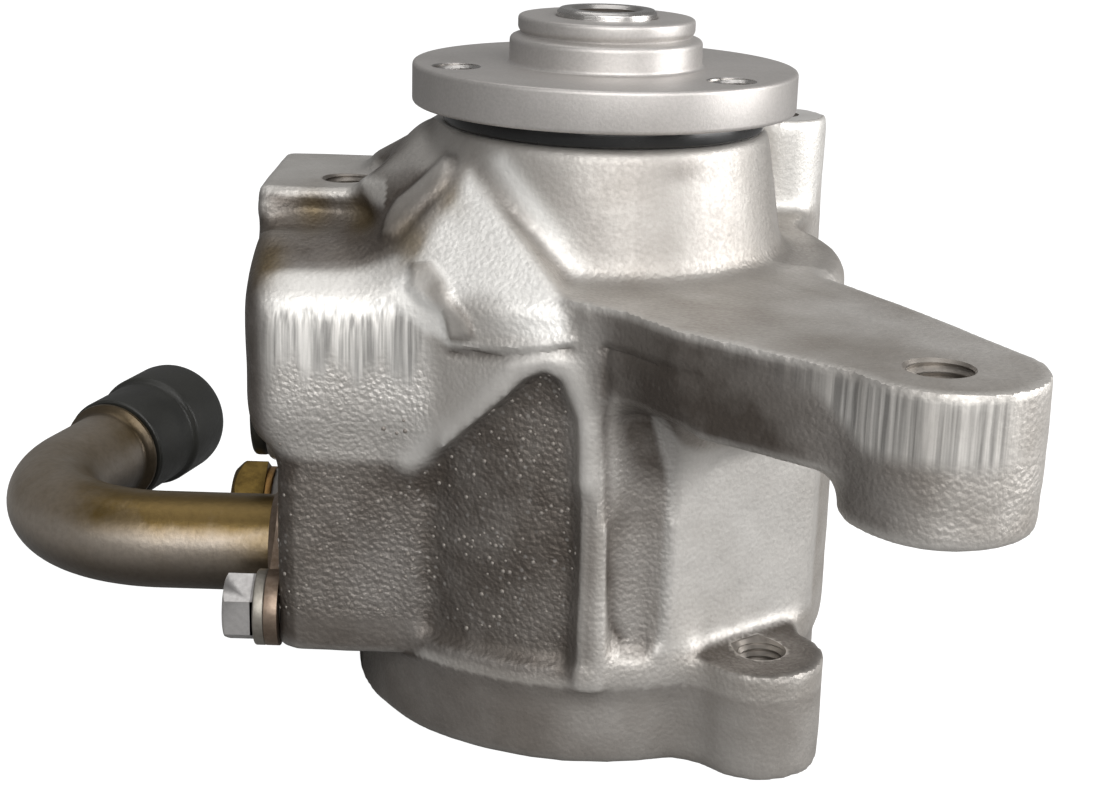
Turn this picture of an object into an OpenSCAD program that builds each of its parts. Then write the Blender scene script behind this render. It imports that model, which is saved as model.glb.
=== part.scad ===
// Vane pump for hydraulic power steering, standing on its rear face, shaft upward.
// Origin: the shaft axis in the plane of the rear face. Millimetres.

/* [Housing] */
// outside diameter of the round rear end
base_d = 79; // [76:0.5:82]
// height of the round rear end
base_h = 13; // [11:0.5:15]
// outside diameter of the body above it
body_d = 81.2; // [80:0.2:84]
// height of the body's shoulder, which is also the top of the arm
body_top = 75.5; // [74.5:0.5:77]
// diameter of the nose at its front edge
nose_d = 53.6; // [52:0.2:56]
// diameter of the nose where its root fillet begins
nose_root_d = 59; // [57.5:0.5:61]
// radius of the fillet at the foot of the nose
nose_fillet = 3.2; // [2:0.2:4]
// height of the nose's front edge
nose_top = 95.3; // [94.9:0.1:95.8]
// depth that the cast panels lie behind the body's skin
panel_depth = 2; // [1.2:0.1:2.6]
// width of the upright rib on the front
rib_w = 5; // [4:0.5:7]
// height that the rib stands out of the body
rib_out = 1.6; // [0.8:0.1:2.4]

/* [Arm and lugs] */
// direction of the arm, seen from above
arm_angle = -58; // [-62:1:-54]
// shaft axis to the arm's threaded hole
arm_reach = 82.8; // [78:0.5:90]
// radius of the arm's rounded end
arm_tip_r = 13.6; // [12.8:0.2:15]
// half width of the arm where it leaves the body
arm_root_half = 21.4; // [19:0.2:24]
// thickness of the arm between body and end
arm_t = 15.2; // [12:0.2:17]
// height of the thick end of the arm
arm_boss_h = 21.8; // [19:0.2:26]
// how far the round end is set to the right of the hole
arm_tip_y = 2.1; // [0:0.1:3]
// core diameter of the arm's M10 thread
arm_thread_d = 8.5; // [8.3:0.1:8.8]
// direction of the rear lug, seen from above
lug_angle = -51; // [-55:1:-47]
// shaft axis to the rear lug's hole
lug_reach = 43; // [41:0.5:46]
// radius of the rear lug
lug_r = 10; // [9:0.2:11]
// height of the rear lug's spot face
lug_h = 18; // [16:0.5:20]
// shaft axis to the flat above the rear lug
flat_reach = 37.6; // [36.5:0.1:38.6]
// step between the flat's foot and the lug's face
mill_step = 0.4; // [0.2:0.1:1.5]
// core diameter of the M8 threads
small_thread_d = 6.8; // [6.6:0.1:7.1]
// depth of the M8 threads in the front lug and the ear
small_thread_depth = 18; // [14:0.5:22]
// height of the ear's face
ear_top = 85; // [84:0.5:86]
// height of the front lug's face
front_lug_top = 92; // [90:0.5:94]
// radius of the front lug
front_lug_r = 9; // [8:0.5:10]

/* [Side blocks] */
// left face of the valve block
block_left = 55; // [54:0.5:57]
// front face of the valve block
block_front = 31.5; // [30:0.5:33]
// height of the valve block's underside
block_low = 47; // [45.5:0.5:48]
// radius of the valve block's cast edges
block_edge = 6; // [4:0.5:7]
// left face of the inlet block
inlet_left = 50; // [49:0.5:51]
// front face of the inlet block
inlet_front = 29; // [28:0.5:30]

/* [Hub] */
// diameter of the hub disc
hub_d = 62; // [58:0.5:66]
// thickness of the hub disc
hub_t = 6.5; // [5.5:0.1:7.5]
// gap between the nose's edge and the disc
hub_gap = 2.9; // [2.7:0.1:3.8]
// diameter of the pulley pilot
pilot_d = 31; // [29:0.2:33]
// length of the pulley pilot
pilot_h = 4.8; // [4:0.1:6]
// diameter of the step above the pilot
step_d = 28.4; // [26:0.2:28.8]
// height of the step above the pilot
step_h = 2.8; // [2:0.1:3.2]
// pitch circle of the pulley's threaded holes
pulley_pcd = 50; // [47:0.5:52]
// number of pulley holes
pulley_holes = 3; // [3:1:6]
// core diameter of the pulley holes
pulley_hole_d = 6.8; // [6.4:0.1:7.4]

/* [Shaft] */
// diameter of the shaft in its bearing
shaft_d = 17; // [16.6:0.1:17.4]
// diameter of the shaft in the hub
hub_seat_d = 16; // [14.6:0.1:16.4]
// length of shaft end showing above the hub
shaft_proud = 1.2; // [0.6:0.1:2]
// width across flats of the socket in the shaft end
socket_af = 8; // [6:0.5:10]
// depth of that socket
socket_depth = 8; // [4:0.5:11]
// diameter of the shaft's rear journal
tail_d = 12; // [11:0.1:12.4]
// radial running clearance of the turning parts
run_gap = 0.03; // [0.02:0.01:0.06]

/* [Bearing and seal] */
// outside diameter of bearing and seal
bearing_d = 35; // [34:0.2:36]
// width of the bearing
bearing_w = 10; // [9.6:0.1:10.4]
// height of the bearing's rear side
bearing_z = 72; // [71.5:0.1:72.3]
// diameter of a bearing ball
ball_d = 4.8; // [4.4:0.1:5]
// number of bearing balls
ball_count = 9; // [7:1:10]
// width of the shaft seal
seal_w = 7; // [6:0.1:7.4]
// outside diameter of the black dust ring
dust_d = 52; // [49:0.5:53]
// thickness of the dust ring
dust_t = 2.5; // [2:0.1:2.6]

/* [Pump cartridge] */
// radial room between cam ring and cartridge bore
bore_gap = 2.5; // [2:0.1:3]
// thickness of the front side plate
front_plate_t = 6; // [5:0.1:6.4]
// height of the front side plate's running face
rotor_top = 40; // [39.5:0.1:40.4]
// height of the cam ring
cam_h = 18; // [17:0.1:18.5]
// outside diameter of the cam ring
cam_d = 58; // [57:0.2:59]
// wall of the cam ring at the oval's lobes
cam_wall = 4.5; // [4.2:0.1:4.8]
// how far the oval's two lobes are pushed out
cam_lobe = 2.6; // [2:0.1:2.8]
// gap between the rotor and the oval's narrow sides
rotor_gap = 0.4; // [0.3:0.1:0.8]
// depth of a vane slot
slot_depth = 8.5; // [8:0.1:9]
// number of vanes
vane_count = 10; // [8:1:10]
// thickness of a vane
vane_t = 1.8; // [1.6:0.1:2]
// thickness of the rear pressure plate
rear_plate_t = 8; // [7:0.1:8.4]
// radius of the two dowel pins
dowel_r = 2; // [1.6:0.1:2.2]
// thickness of the rear cover
cover_t = 8; // [7.6:0.1:8.4]
// height of the rear cover's outer face
cover_z = 3; // [2.8:0.1:3.4]
// floor of the cover under the shaft's rear bush
cover_floor = 3; // [2.6:0.1:3.4]
// thickness of the cover's round retaining wire
wire_d = 2; // [1.6:0.1:2.2]

/* [Flow valve] */
// height of the valve bore's axis
valve_z = 60; // [59.8:0.1:60.2]
// distance of the valve bore's axis in front of the shaft
valve_y = 16; // [15.5:0.1:16.5]
// diameter of the valve spool
spool_d = 16; // [15:0.1:16.2]
// length of the valve spool
spool_len = 22; // [21:0.1:22.5]
// travel of the valve spool
spool_travel = 5; // [3:0.1:5.2]
// diameter of the plug that closes the valve bore
plug_d = 20; // [19:0.1:20.6]
// wire of the valve spring
valve_wire = 1.4; // [1:0.1:1.6]
// diameter of the relief ball
relief_ball_d = 4; // [3.6:0.1:4.2]

/* [Suction pipe] */
// outside diameter of the pipe
pipe_d = 16.6; // [15:0.2:17.4]
// wall of the pipe
pipe_wall = 1.4; // [1:0.1:2]
// height of the pipe's axis
pipe_z = 22; // [21:0.5:23]
// distance of the pipe's axis in front of the shaft
pipe_y = 4; // [3:0.5:5]
// shaft axis to the outside of the pipe's bend
pipe_reach = 105.3; // [102:0.5:112]
// bend radius on the pipe's centre line
pipe_bend_r = 24; // [22:0.5:28]
// angle that the pipe turns through
pipe_bend = 107; // [95:1:125]
// straight end of the pipe after the bend
pipe_tail = 34; // [32:0.5:38]
// outside diameter of the flange plate around the pipe
plate_d = 23; // [21.6:0.2:24]
// thickness of the flange plate
plate_t = 2.2; // [1.6:0.1:3]
// width of the brazed fillet between pipe and plate
braze = 1.5; // [1:0.1:2]
// across flats of the flange bolt
bolt_af = 10; // [9:0.5:11]
// thread diameter of the flange bolt
bolt_d = 6; // [5.6:0.1:6.4]
// height of the bolt head
bolt_head = 5; // [3.6:0.1:6]
// length of the bolt's thread in the block
bolt_grip = 11; // [9:0.5:12]
// outside diameter of the bolt's washer
washer_d = 12.4; // [11.6:0.2:13.4]
// thickness of the washer
washer_t = 1.8; // [1.2:0.1:2.2]
// height of the rolled bead on the pipe
bead_out = 1.5; // [0.8:0.1:2]
// width of that bead
bead_t = 2.4; // [1.8:0.1:3]
// wall of the rubber cap on the pipe end
cap_wall = 1.9; // [1.4:0.1:2.4]
// step between the cap's two halves
cap_step = 0.9; // [0.4:0.1:1.2]
// length of the rubber cap
cap_len = 28; // [25:0.5:30]
// radius of the cap's domed edge
cap_dome = 5; // [3:0.5:6]
// diameter of the outlet's rubber plug
outlet_d = 14; // [12.5:0.1:14.6]
// length that the rubber plug stands out of its port
outlet_head = 2.6; // [2:0.1:3.4]
// length of the rubber plug in its port
outlet_grip = 9; // [7:0.5:11]

/* [Side plug] */
// across flats of the hexagon screw plug behind the pipe
side_af = 19; // [17:0.5:21]
// length of its hexagon
side_head = 6; // [5:0.1:7]
// core diameter of its thread
side_thread_d = 14; // [12:0.5:15]
// length of its thread in the casting
side_grip = 10; // [8:0.5:12]
// thickness of its sealing washer
side_washer_t = 1.2; // [1:0.1:1.6]

/* [Hidden] */
$fn = 96;
e = 0.02;
cast_grey = [0.62, 0.61, 0.59];
steel_grey = [0.72, 0.72, 0.73];
dark_steel = [0.38, 0.38, 0.40];
bronze = [0.66, 0.48, 0.24];
rubber = [0.10, 0.10, 0.10];
olive_zinc = [0.50, 0.43, 0.25];

body_r = body_d / 2;
panel_r = body_r - panel_depth;
bore_r = cam_d / 2 + bore_gap;
cam_small_r = cam_d / 2 - cam_wall - cam_lobe;
rotor_r = cam_small_r - rotor_gap;
ceiling = rotor_top + front_plate_t;
cam_low = rotor_top - cam_h;
rear_plate_z = cam_low - rear_plate_t;
cover_top = cover_z + cover_t;
fit_gap = 0.05;

bearing_r = bearing_d / 2;
bearing_top = bearing_z + bearing_w;
ball_pitch_r = (bearing_r + shaft_d / 2) / 2;
circlip_t = 1.5;
seal_z = nose_top - 1.8 - seal_w;
bush_low = ceiling + 4;
bush_top = bearing_z - 6;
bush_wall = 2.4;
shaft_r = shaft_d / 2;
tail_r = tail_d / 2;
spline_r = 7.6;
spline_low = cam_low - 3;
spline_top = rotor_top + 2;

hub_low = nose_top + hub_gap;
hub_face = hub_low + hub_t;
hub_seat_low = nose_top + 0.7;
hub_top = hub_face + pilot_h + step_h;
shaft_top = hub_top + shaft_proud;

slot_end_r = rotor_r - slot_depth;
vane_in_r = slot_end_r + 0.6;
vane_tip_r = rotor_r + 0.15;

spool_r = spool_d / 2;
plug_len = 9;
plug_inner = -block_left + plug_len;
spool_left = plug_inner + 1;
spool_right = spool_left + spool_len;
valve_end = spool_right + 8.5;
spring_pocket = 6;
passage_x = 19;
relief_x = spool_right - spring_pocket;
relief_seat_len = 2.4;
relief_r = relief_ball_d / 2;
relief_bore_r = relief_r + 0.8;
relief_ball_x = relief_x - relief_seat_len - relief_r * 0.8;
relief_floor = relief_x - 13;

pipe_r = pipe_d / 2;
pipe_run = pipe_reach - pipe_bend_r - pipe_r;
plate_x = -inlet_left - plate_t;
cap_start = pipe_tail - 19;
spigot_len = 9;
inlet_bore_r = pipe_r + 2;
bolt_y = -22;
bolt_z = 17.8;
washer_x = -inlet_left - plate_t - washer_t;
outlet_y = 9.5;
outlet_z = 42.5;
outlet_face = 56;
side_y = 17.6;
side_z = 18.2;
side_face = 56.8;
side_head_x = -side_face - side_washer_t;
arm_tip_x = arm_reach - 0.6;
ear_x = -41.5;
ear_y = -1;
front_lug_x = 32;
front_lug_y = 37;

function polar(r, a) = [r * cos(a), r * sin(a)];
function arc(c, r, a0, a1, n) = [for (i = [0:n]) c + r * [cos(a0 + (a1 - a0) * i / n), sin(a0 + (a1 - a0) * i / n)]];

// A ring about the vertical axis, from one radius to another.
module ring(r_in, r_out, z, h) {
    translate([0, 0, z])
        linear_extrude(h)
            difference() {
                circle(r_out);
                circle(r_in);
            }
}

// An upright round bar.
module bar(x, y, z, r, h) {
    translate([x, y, z])
        cylinder(r = r, h = h);
}

// A round bar along X, from one x to another.
module cross_bar(x0, x1, y, z, r) {
    translate([x0, y, z])
        rotate([0, 90, 0])
            cylinder(r = r, h = x1 - x0);
}

// An o-ring about the vertical axis, squeezed between two radii.
module squeezed_ring(r_in, r_out, z, section) {
    rotate_extrude()
        translate([(r_in + r_out) / 2, z])
            intersection() {
                circle(section / 2, $fn = 32);
                square([r_out - r_in, section], center = true);
            }
}

// A coil of round wire along Z, made of rings of points joined in turn.
module coil(r, wire_r, len, turns) {
    sides = 8;
    steps = turns * 20;
    rise = len - 2 * wire_r;
    points = [for (i = [0:steps], k = [0:sides - 1])
        let (a = 360 * turns * i / steps, b = 360 * k / sides, q = r + wire_r * cos(b))
            [q * cos(a), q * sin(a), wire_r + rise * i / steps + wire_r * sin(b)]];
    walls = [for (i = [0:steps - 1], k = [0:sides - 1])
        let (n = (k + 1) % sides)
            [i * sides + k, (i + 1) * sides + k, (i + 1) * sides + n, i * sides + n]];
    ends = [[for (k = [0:sides - 1]) k], [for (k = [sides - 1:-1:0]) steps * sides + k]];
    polyhedron(points, concat(walls, ends), convexity = 10);
}

// The turned core of the casting: rear end, body and nose.
module body_core() {
    nose_root_z = body_top + nose_fillet;
    rotate_extrude()
        polygon(concat(
            [[0, 0], [base_d / 2 - 0.8, 0], [base_d / 2, 0.8], [base_d / 2, base_h - 0.6],
                [body_r - 0.4, base_h], [body_r, base_h + 1.6], [body_r, body_top - 3],
                [body_r - 1, body_top - 1], [body_r - 3, body_top]],
            [for (p = arc([nose_root_d / 2 + nose_fillet, nose_root_z], nose_fillet, 270, 180, 5)) p],
            [[nose_d / 2, nose_top - 0.6], [nose_d / 2 - 0.6, nose_top], [0, nose_top]]));
}

// The arm in plan: flared at the body, then a taper to a round end.
module arm_plan() {
    h = arm_root_half;
    translate([arm_tip_x, arm_tip_y])
        circle(arm_tip_r);
    polygon([[14, -h], [31, -h - 4], [40, -h], [52, -h + 0.7], [64, -h + 4.7],
        [arm_tip_x - 2.9, arm_tip_y - arm_tip_r * 0.977], [arm_tip_x + 3, arm_tip_y + arm_tip_r * 0.975],
        [67, h - 4], [52, h - 2.8], [14, h - 1.8]]);
}

module arm() {
    foot = body_top - arm_t - 9;
    boss_low = body_top - arm_boss_h;
    rotate([0, 0, arm_angle]) {
        translate([0, 0, body_top - arm_t])
            linear_extrude(arm_t)
                arm_plan();
        // the thick end, with a hollow fillet under the arm
        translate([arm_tip_x, arm_tip_y, 0])
            rotate_extrude()
                polygon([[0, boss_low], [arm_tip_r - 1, boss_low], [arm_tip_r - 0.2, boss_low + 0.8],
                    [arm_tip_r - 0.2, body_top - arm_t + 3], [0, body_top - arm_t + 3]]);
        // the web under the root
        translate([0, 13, 0])
            rotate([90, 0, 0])
                linear_extrude(26)
                    polygon([[20, foot], [39.5, foot], [41, foot + 4], [44, foot + 7.4], [50, foot + 9.5], [20, foot + 9.5]]);
    }
}

// The rear lug with the web that joins it to the body.
module rear_lug() {
    c = polar(lug_reach, lug_angle);
    linear_extrude(lug_h) {
        translate(c)
            circle(lug_r);
        polygon([polar(36, lug_angle + 34), polar(lug_reach, lug_angle + 13.2), c,
            polar(lug_reach, lug_angle - 13.2), polar(37, lug_angle - 22), polar(24, lug_angle)]);
    }
}

// The valve block seen from its left end, and from above.
module block_section() {
    y0 = -block_front;
    r = block_edge;
    polygon(concat(
        arc([y0 + r + 2, block_low + r + 2], r + 2, 270, 180, 6),
        arc([y0 + r, 75 - r], r, 180, 112, 5),
        [[-12, ear_top - 4], [-9, ear_top], [22, ear_top], [26, ear_top - 4], [26, block_low]]));
}

module block_plan() {
    r = block_edge;
    polygon(concat(
        arc([-block_left + r, -block_front + r], r, 180, 270, 6),
        [[-15, -block_front], [-15, 26]],
        arc([-block_left + r, 26 - r], r, 90, 180, 6)));
}

module valve_block() {
    intersection() {
        translate([-60, 0, 0])
            rotate([90, 0, 90])
                linear_extrude(50)
                    block_section();
        translate([0, 0, 30])
            linear_extrude(70)
                block_plan();
    }
}

// The block that carries the suction pipe and the outlet.
module inlet_block() {
    r = 4;
    translate([0, 0, base_h])
        linear_extrude(block_low - base_h + 4)
            polygon(concat(
                arc([-inlet_left + r, -inlet_front + r], r, 180, 270, 5),
                [[-20, -inlet_front], [-20, 24]],
                arc([-inlet_left + r, 24 - r], r, 90, 180, 5)));
    cross_bar(-outlet_face, -30, outlet_y, outlet_z, 9.8);
    cross_bar(-side_face, -30, side_y, side_z, side_af / 2 + 0.3);
}

// The slanted cast mass between nose, ear and front rib.
module shoulder_mass() {
    hull()
        for (p = [[-25, -3, 93.3], [-21.5, -18.5, 90.6], [-6, -38, 74.4], [-21, -33.5, 64],
                [-33, -29.6, 73], [-38, -9, 85.5], [-38, 14, 86], [-25, 14, 93.3], [-5, -31, 70],
                [-13, -10, 87], [-20, 24, 84], [-6, -35, 64], [-10, 10, 66]])
            translate(p)
                sphere(1, $fn = 8);
}

// The front lug behind the nose.
module front_lug() {
    bar(front_lug_x, front_lug_y, 58, front_lug_r, front_lug_top - 58);
    translate([0, 0, 58])
        linear_extrude(body_top - 58)
            polygon([[10, 30], [front_lug_x - 7, front_lug_y + 5.6], [front_lug_x + 7, front_lug_y - 5.6], [33, 12]]);
}

// The front's cast panels, seen from the front as x and height.
module left_panel() {
    polygon([[-27.5, base_h + 4], [-27.5, 45.5], [-10.5, 63.2], [-8, 64.4], [-5.4, 63.4],
        [-rib_w / 2 - 0.6, 58], [-rib_w / 2, 40], [-rib_w / 2, base_h + 4]]);
}

module right_panel() {
    polygon([[rib_w / 2, base_h + 8], [rib_w / 2, 66], [rib_w / 2 + 2, 68], [9, 68], [11.6, 56],
        [11, base_h + 8], [9, base_h + 5.5], [rib_w / 2 + 2, base_h + 5.5]]);
}

// The low rib that runs round the top of the left panel.
module arch_rib() {
    intersection() {
        rotate([90, 0, 0])
            linear_extrude(60)
                polygon([[-31, 44.5], [-13.4, 66.2], [-9, 68.4], [-3.4, 68.2], [0, 66], [0, 56],
                    [-3, 56], [-5.2, 63], [-8, 64], [-10.4, 62.9], [-27.4, 45]]);
        cylinder(r = body_r + rib_out * 0.6, h = body_top);
    }
}

module front_cut(r) {
    difference() {
        rotate([90, 0, 0])
            linear_extrude(60)
                children();
        translate([0, 0, -1])
            cylinder(r = r, h = 120);
    }
}

// A tapped hole's core with its countersink, drilled down from a face.
module tapped(x, y, top, d, depth) {
    bar(x, y, top - depth, d / 2, depth + 1);
    translate([x, y, top - 1.2])
        cylinder(r1 = d / 2, r2 = d / 2 + 1.4, h = 1.4);
}

module pump_housing() {
    color(cast_grey)
        difference() {
            union() {
                difference() {
                    union() {
                        body_core();
                        arch_rib();
                        translate([0, 0, base_h + 0.4])
                            linear_extrude(body_top - base_h - 1.4)
                                translate([-rib_w / 2, -body_r - rib_out])
                                    square([rib_w, 8]);
                    }
                    front_cut(panel_r)
                        left_panel();
                    front_cut(panel_r)
                        right_panel();
                    // the flat that leaves room for the rear lug's screw, with a low step left by the mill
                    rotate([0, 0, lug_angle])
                        translate([flat_reach, -25, lug_h + mill_step])
                            cube([20, 50, body_top - arm_t - lug_h - mill_step - 1]);
                }
                arm();
                rear_lug();
                valve_block();
                inlet_block();
                shoulder_mass();
                front_lug();
            }
            // cartridge bore, with the groove for the cover's wire ring
            translate([0, 0, -1])
                cylinder(r = bore_r, h = ceiling + 1);
            ring(10, bore_r + wire_d / 2, cover_z - wire_d, wire_d);
            // shaft passage, bush seat, bearing and seal bore with the circlip groove
            bar(0, 0, 30, shaft_r + 1.2, 50);
            bar(0, 0, bush_low, shaft_r + run_gap + bush_wall, bearing_z - bush_low + 1);
            bar(0, 0, bearing_z, bearing_r, 40);
            ring(10, bearing_r + 1.2, bearing_top, circlip_t);
            // valve bore with the plug's thread
            cross_bar(-90, valve_end, -valve_y, valve_z, spool_r + run_gap);
            cross_bar(-90, plug_inner, -valve_y, valve_z, plug_d / 2);
            // inlet, outlet and the passages behind them
            cross_bar(-90, -inlet_left + spigot_len + 0.5, -pipe_y, pipe_z, inlet_bore_r);
            cross_bar(-60, -24, -pipe_y, pipe_z, pipe_r - pipe_wall);
            cross_bar(-90, -36, outlet_y, outlet_z, outlet_d / 2);
            translate([-40, outlet_y, outlet_z])
                rotate([atan2(valve_y + outlet_y, valve_z - outlet_z), 0, 0])
                    cylinder(r = 2.5, h = norm([valve_y + outlet_y, valve_z - outlet_z]));
            bar(-passage_x, -valve_y, ceiling - 2, 2.4, valve_z - ceiling);
            cross_bar(-90, -side_face + side_grip + 1.5, side_y, side_z, side_thread_d / 2);
            cross_bar(-60, -24, side_y, side_z, 4);
            // threads
            translate([0, 0, -1])
                rotate([0, 0, lug_angle])
                    bar(lug_reach, 0, 0, small_thread_d / 2, lug_h + 2);
            rotate([0, 0, lug_angle])
                tapped(lug_reach, 0, lug_h, small_thread_d, 4);
            rotate([0, 0, arm_angle])
                tapped(arm_reach, 0, body_top, arm_thread_d, arm_boss_h + 1);
            bar(ear_x, ear_y, ear_top, 7, 20);
            // the hollow cast under the ear's front edge
            cross_bar(-block_left - 5, ear_x + 1, -12.6, ear_top - 4.6, 2.1);
            tapped(ear_x, ear_y, ear_top, small_thread_d, small_thread_depth);
            tapped(front_lug_x, front_lug_y, front_lug_top, small_thread_d, small_thread_depth);
            cross_bar(-60, -inlet_left + bolt_grip + 2, bolt_y, bolt_z, bolt_d / 2);
            // dowel holes in the ceiling
            for (s = [-1, 1])
                bar(0, s * (cam_d / 2 - 3.6), ceiling - 1, dowel_r, 4);
        }
}

module hub_flange() {
    r = hub_d / 2;
    p = pilot_d / 2;
    s = step_d / 2;
    color(steel_grey)
        difference() {
            rotate_extrude()
                polygon([[hub_seat_d / 2, hub_seat_low], [12, hub_seat_low], [12, hub_low],
                    [r - 0.8, hub_low], [r, hub_low + 0.8], [r, hub_face - 0.8], [r - 0.8, hub_face],
                    [p, hub_face], [p, hub_face + pilot_h - 0.9], [p - 0.5, hub_face + pilot_h - 0.4],
                    [s - 0.6, hub_face + pilot_h], [s, hub_face + pilot_h + 0.7], [s, hub_top - 0.6],
                    [s - 0.6, hub_top], [hub_seat_d / 2, hub_top]]);
            for (i = [0:pulley_holes - 1])
                rotate([0, 0, 200 + 360 * i / pulley_holes])
                    bar(pulley_pcd / 2, 0, hub_low - 1, pulley_hole_d / 2, hub_t + 2);
        }
}

// The shaft's splines in plan, grown by a clearance.
module spline_plan(grow) {
    circle(spline_r - 0.8 + grow);
    for (i = [0:9])
        rotate(36 * i)
            translate([0, -1.1 - grow])
                square([spline_r + grow, 2.2 + 2 * grow]);
}

module drive_shaft() {
    color(steel_grey)
        difference() {
            union() {
                bar(0, 0, cover_z + cover_floor + 0.2, tail_r, spline_low - cover_z - cover_floor - 0.2 + e);
                translate([0, 0, spline_low])
                    linear_extrude(spline_top - spline_low)
                        spline_plan(0);
                bar(0, 0, spline_top, shaft_r, hub_seat_low - spline_top);
                bar(0, 0, bush_top + 1, shaft_r + 1.8, bearing_z - bush_top - 1);
                bar(0, 0, hub_seat_low - e, hub_seat_d / 2, shaft_top - hub_seat_low - 0.5 + e);
                translate([0, 0, shaft_top - 0.5])
                    cylinder(r1 = hub_seat_d / 2, r2 = hub_seat_d / 2 - 0.5, h = 0.5);
            }
            ring(shaft_r - 0.7, shaft_r + 3, bearing_top, circlip_t - 0.3);
            ring(tail_r - 0.2, spline_r + 2, spline_low + 0.8, 1.2);
            translate([0, 0, shaft_top - socket_depth])
                cylinder(r = socket_af / sqrt(3), h = socket_depth + 1, $fn = 6);
            translate([0, 0, shaft_top - 1.2])
                cylinder(r1 = socket_af / sqrt(3), r2 = socket_af / sqrt(3) + 1.3, h = 1.3);
        }
}

module dust_ring() {
    color(rubber)
        rotate_extrude()
            polygon([[15, nose_top], [dust_d / 2, nose_top], [dust_d / 2, nose_top + dust_t - 0.5],
                [dust_d / 2 - 0.5, nose_top + dust_t], [15, nose_top + dust_t]]);
}

module shaft_seal() {
    color(rubber)
        rotate_extrude()
            polygon([[bearing_r - 2.4, seal_z], [bearing_r, seal_z], [bearing_r, seal_z + seal_w],
                [shaft_r + 2, seal_z + seal_w], [shaft_r + run_gap, seal_z + seal_w - 1],
                [shaft_r + 1.4, seal_z + seal_w - 2.4], [shaft_r + 1.4, seal_z + 2.6],
                [shaft_r + run_gap, seal_z + 1.4], [shaft_r + 1.2, seal_z], [shaft_r + 2.6, seal_z],
                [shaft_r + 2.6, seal_z + seal_w - 2], [bearing_r - 2.4, seal_z + seal_w - 2]]);
}

module seal_spring() {
    color(steel_grey)
        rotate_extrude()
            translate([shaft_r + 3.2, seal_z + 1.3])
                circle(0.6, $fn = 24);
}

module bearing_race(side) {
    inner = ball_pitch_r - 1.5;
    outer = ball_pitch_r + 1.5;
    color(steel_grey)
        rotate_extrude()
            difference() {
                translate([side < 0 ? shaft_r : outer, bearing_z])
                    square([side < 0 ? inner - shaft_r : bearing_r - outer, bearing_w]);
                translate([ball_pitch_r, bearing_z + bearing_w / 2])
                    circle(ball_d / 2 + run_gap);
            }
}

module bearing_outer_ring() {
    bearing_race(1);
}

module bearing_inner_ring() {
    bearing_race(-1);
}

module bearing_balls() {
    color(steel_grey)
        for (i = [0:ball_count - 1])
            rotate([0, 0, 360 * i / ball_count])
                translate([ball_pitch_r, 0, bearing_z + bearing_w / 2])
                    sphere(ball_d / 2);
}

module bearing_cage() {
    color(bronze)
        difference() {
            ring(ball_pitch_r - 0.9, ball_pitch_r + 0.9, bearing_z + 1.4, bearing_w - 2.8);
            for (i = [0:ball_count - 1])
                rotate([0, 0, 360 * i / ball_count])
                    translate([ball_pitch_r, 0, bearing_z + bearing_w / 2])
                        sphere(ball_d / 2 + run_gap);
        }
}

// A flat circlip with a gap in it.
module circlip(r_in, r_out, z, t, turn) {
    color(dark_steel)
        translate([0, 0, z])
            linear_extrude(t)
                difference() {
                    circle(r_out);
                    circle(r_in);
                    rotate(turn)
                        translate([0, -2])
                            square([r_out + 2, 4]);
                }
}

module bearing_circlip() {
    circlip(bearing_r - 2, bearing_r + 1.2, bearing_top, circlip_t, 30);
}

module shaft_circlip() {
    circlip(shaft_r - 0.7, shaft_r + 1.5, bearing_top, circlip_t - 0.3, 150);
}

module rotor_circlip() {
    circlip(tail_r - 0.2, spline_r + 0.9, spline_low + 0.8, 1.2, 90);
}

module front_bush() {
    color(bronze)
        ring(shaft_r + run_gap, shaft_r + run_gap + bush_wall, bush_low, bush_top - bush_low);
}

module rear_bush() {
    color(bronze)
        ring(tail_r + run_gap, tail_r + run_gap + 1.8, cover_z + cover_floor, cover_t - cover_floor);
}

// Holes for the dowel pins and the plate's ports.
module dowel_holes(z, h) {
    for (s = [-1, 1])
        bar(0, s * (cam_d / 2 - 3.6), z - 1, dowel_r, h + 2);
}

module front_plate() {
    color(steel_grey)
        difference() {
            ring(shaft_r + 1.2, bore_r - fit_gap, rotor_top, front_plate_t);
            dowel_holes(rotor_top, front_plate_t);
            for (a = [45, 225])
                rotate([0, 0, a])
                    bar(cam_small_r - 2, 0, rotor_top - 1, 3, front_plate_t + 2);
            bar(-passage_x, -valve_y, rotor_top - 1, 2.4, front_plate_t + 2);
        }
}

module cam_ring() {
    color(dark_steel)
        difference() {
            translate([0, 0, cam_low])
                linear_extrude(cam_h)
                    difference() {
                        circle(cam_d / 2);
                        circle(cam_small_r);
                        for (s = [-1, 1])
                            translate([s * cam_lobe, 0])
                                circle(cam_small_r - 0.5);
                    }
            dowel_holes(cam_low, cam_h);
        }
}

module rotor() {
    color(steel_grey)
        translate([0, 0, cam_low + run_gap])
            linear_extrude(cam_h - 2 * run_gap)
                difference() {
                    circle(rotor_r);
                    spline_plan(0.03);
                    for (i = [0:vane_count - 1])
                        rotate(360 * i / vane_count + 18) {
                            translate([slot_end_r, -vane_t / 2 - 0.02])
                                square([rotor_r, vane_t + 0.04]);
                            translate([slot_end_r, 0])
                                circle(1.5);
                        }
                }
}

module vanes() {
    color(steel_grey)
        translate([0, 0, cam_low + run_gap])
            linear_extrude(cam_h - 2 * run_gap)
                for (i = [0:vane_count - 1])
                    rotate(360 * i / vane_count + 18)
                        translate([vane_in_r, -vane_t / 2])
                            square([vane_tip_r - vane_in_r, vane_t]);
}

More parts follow.
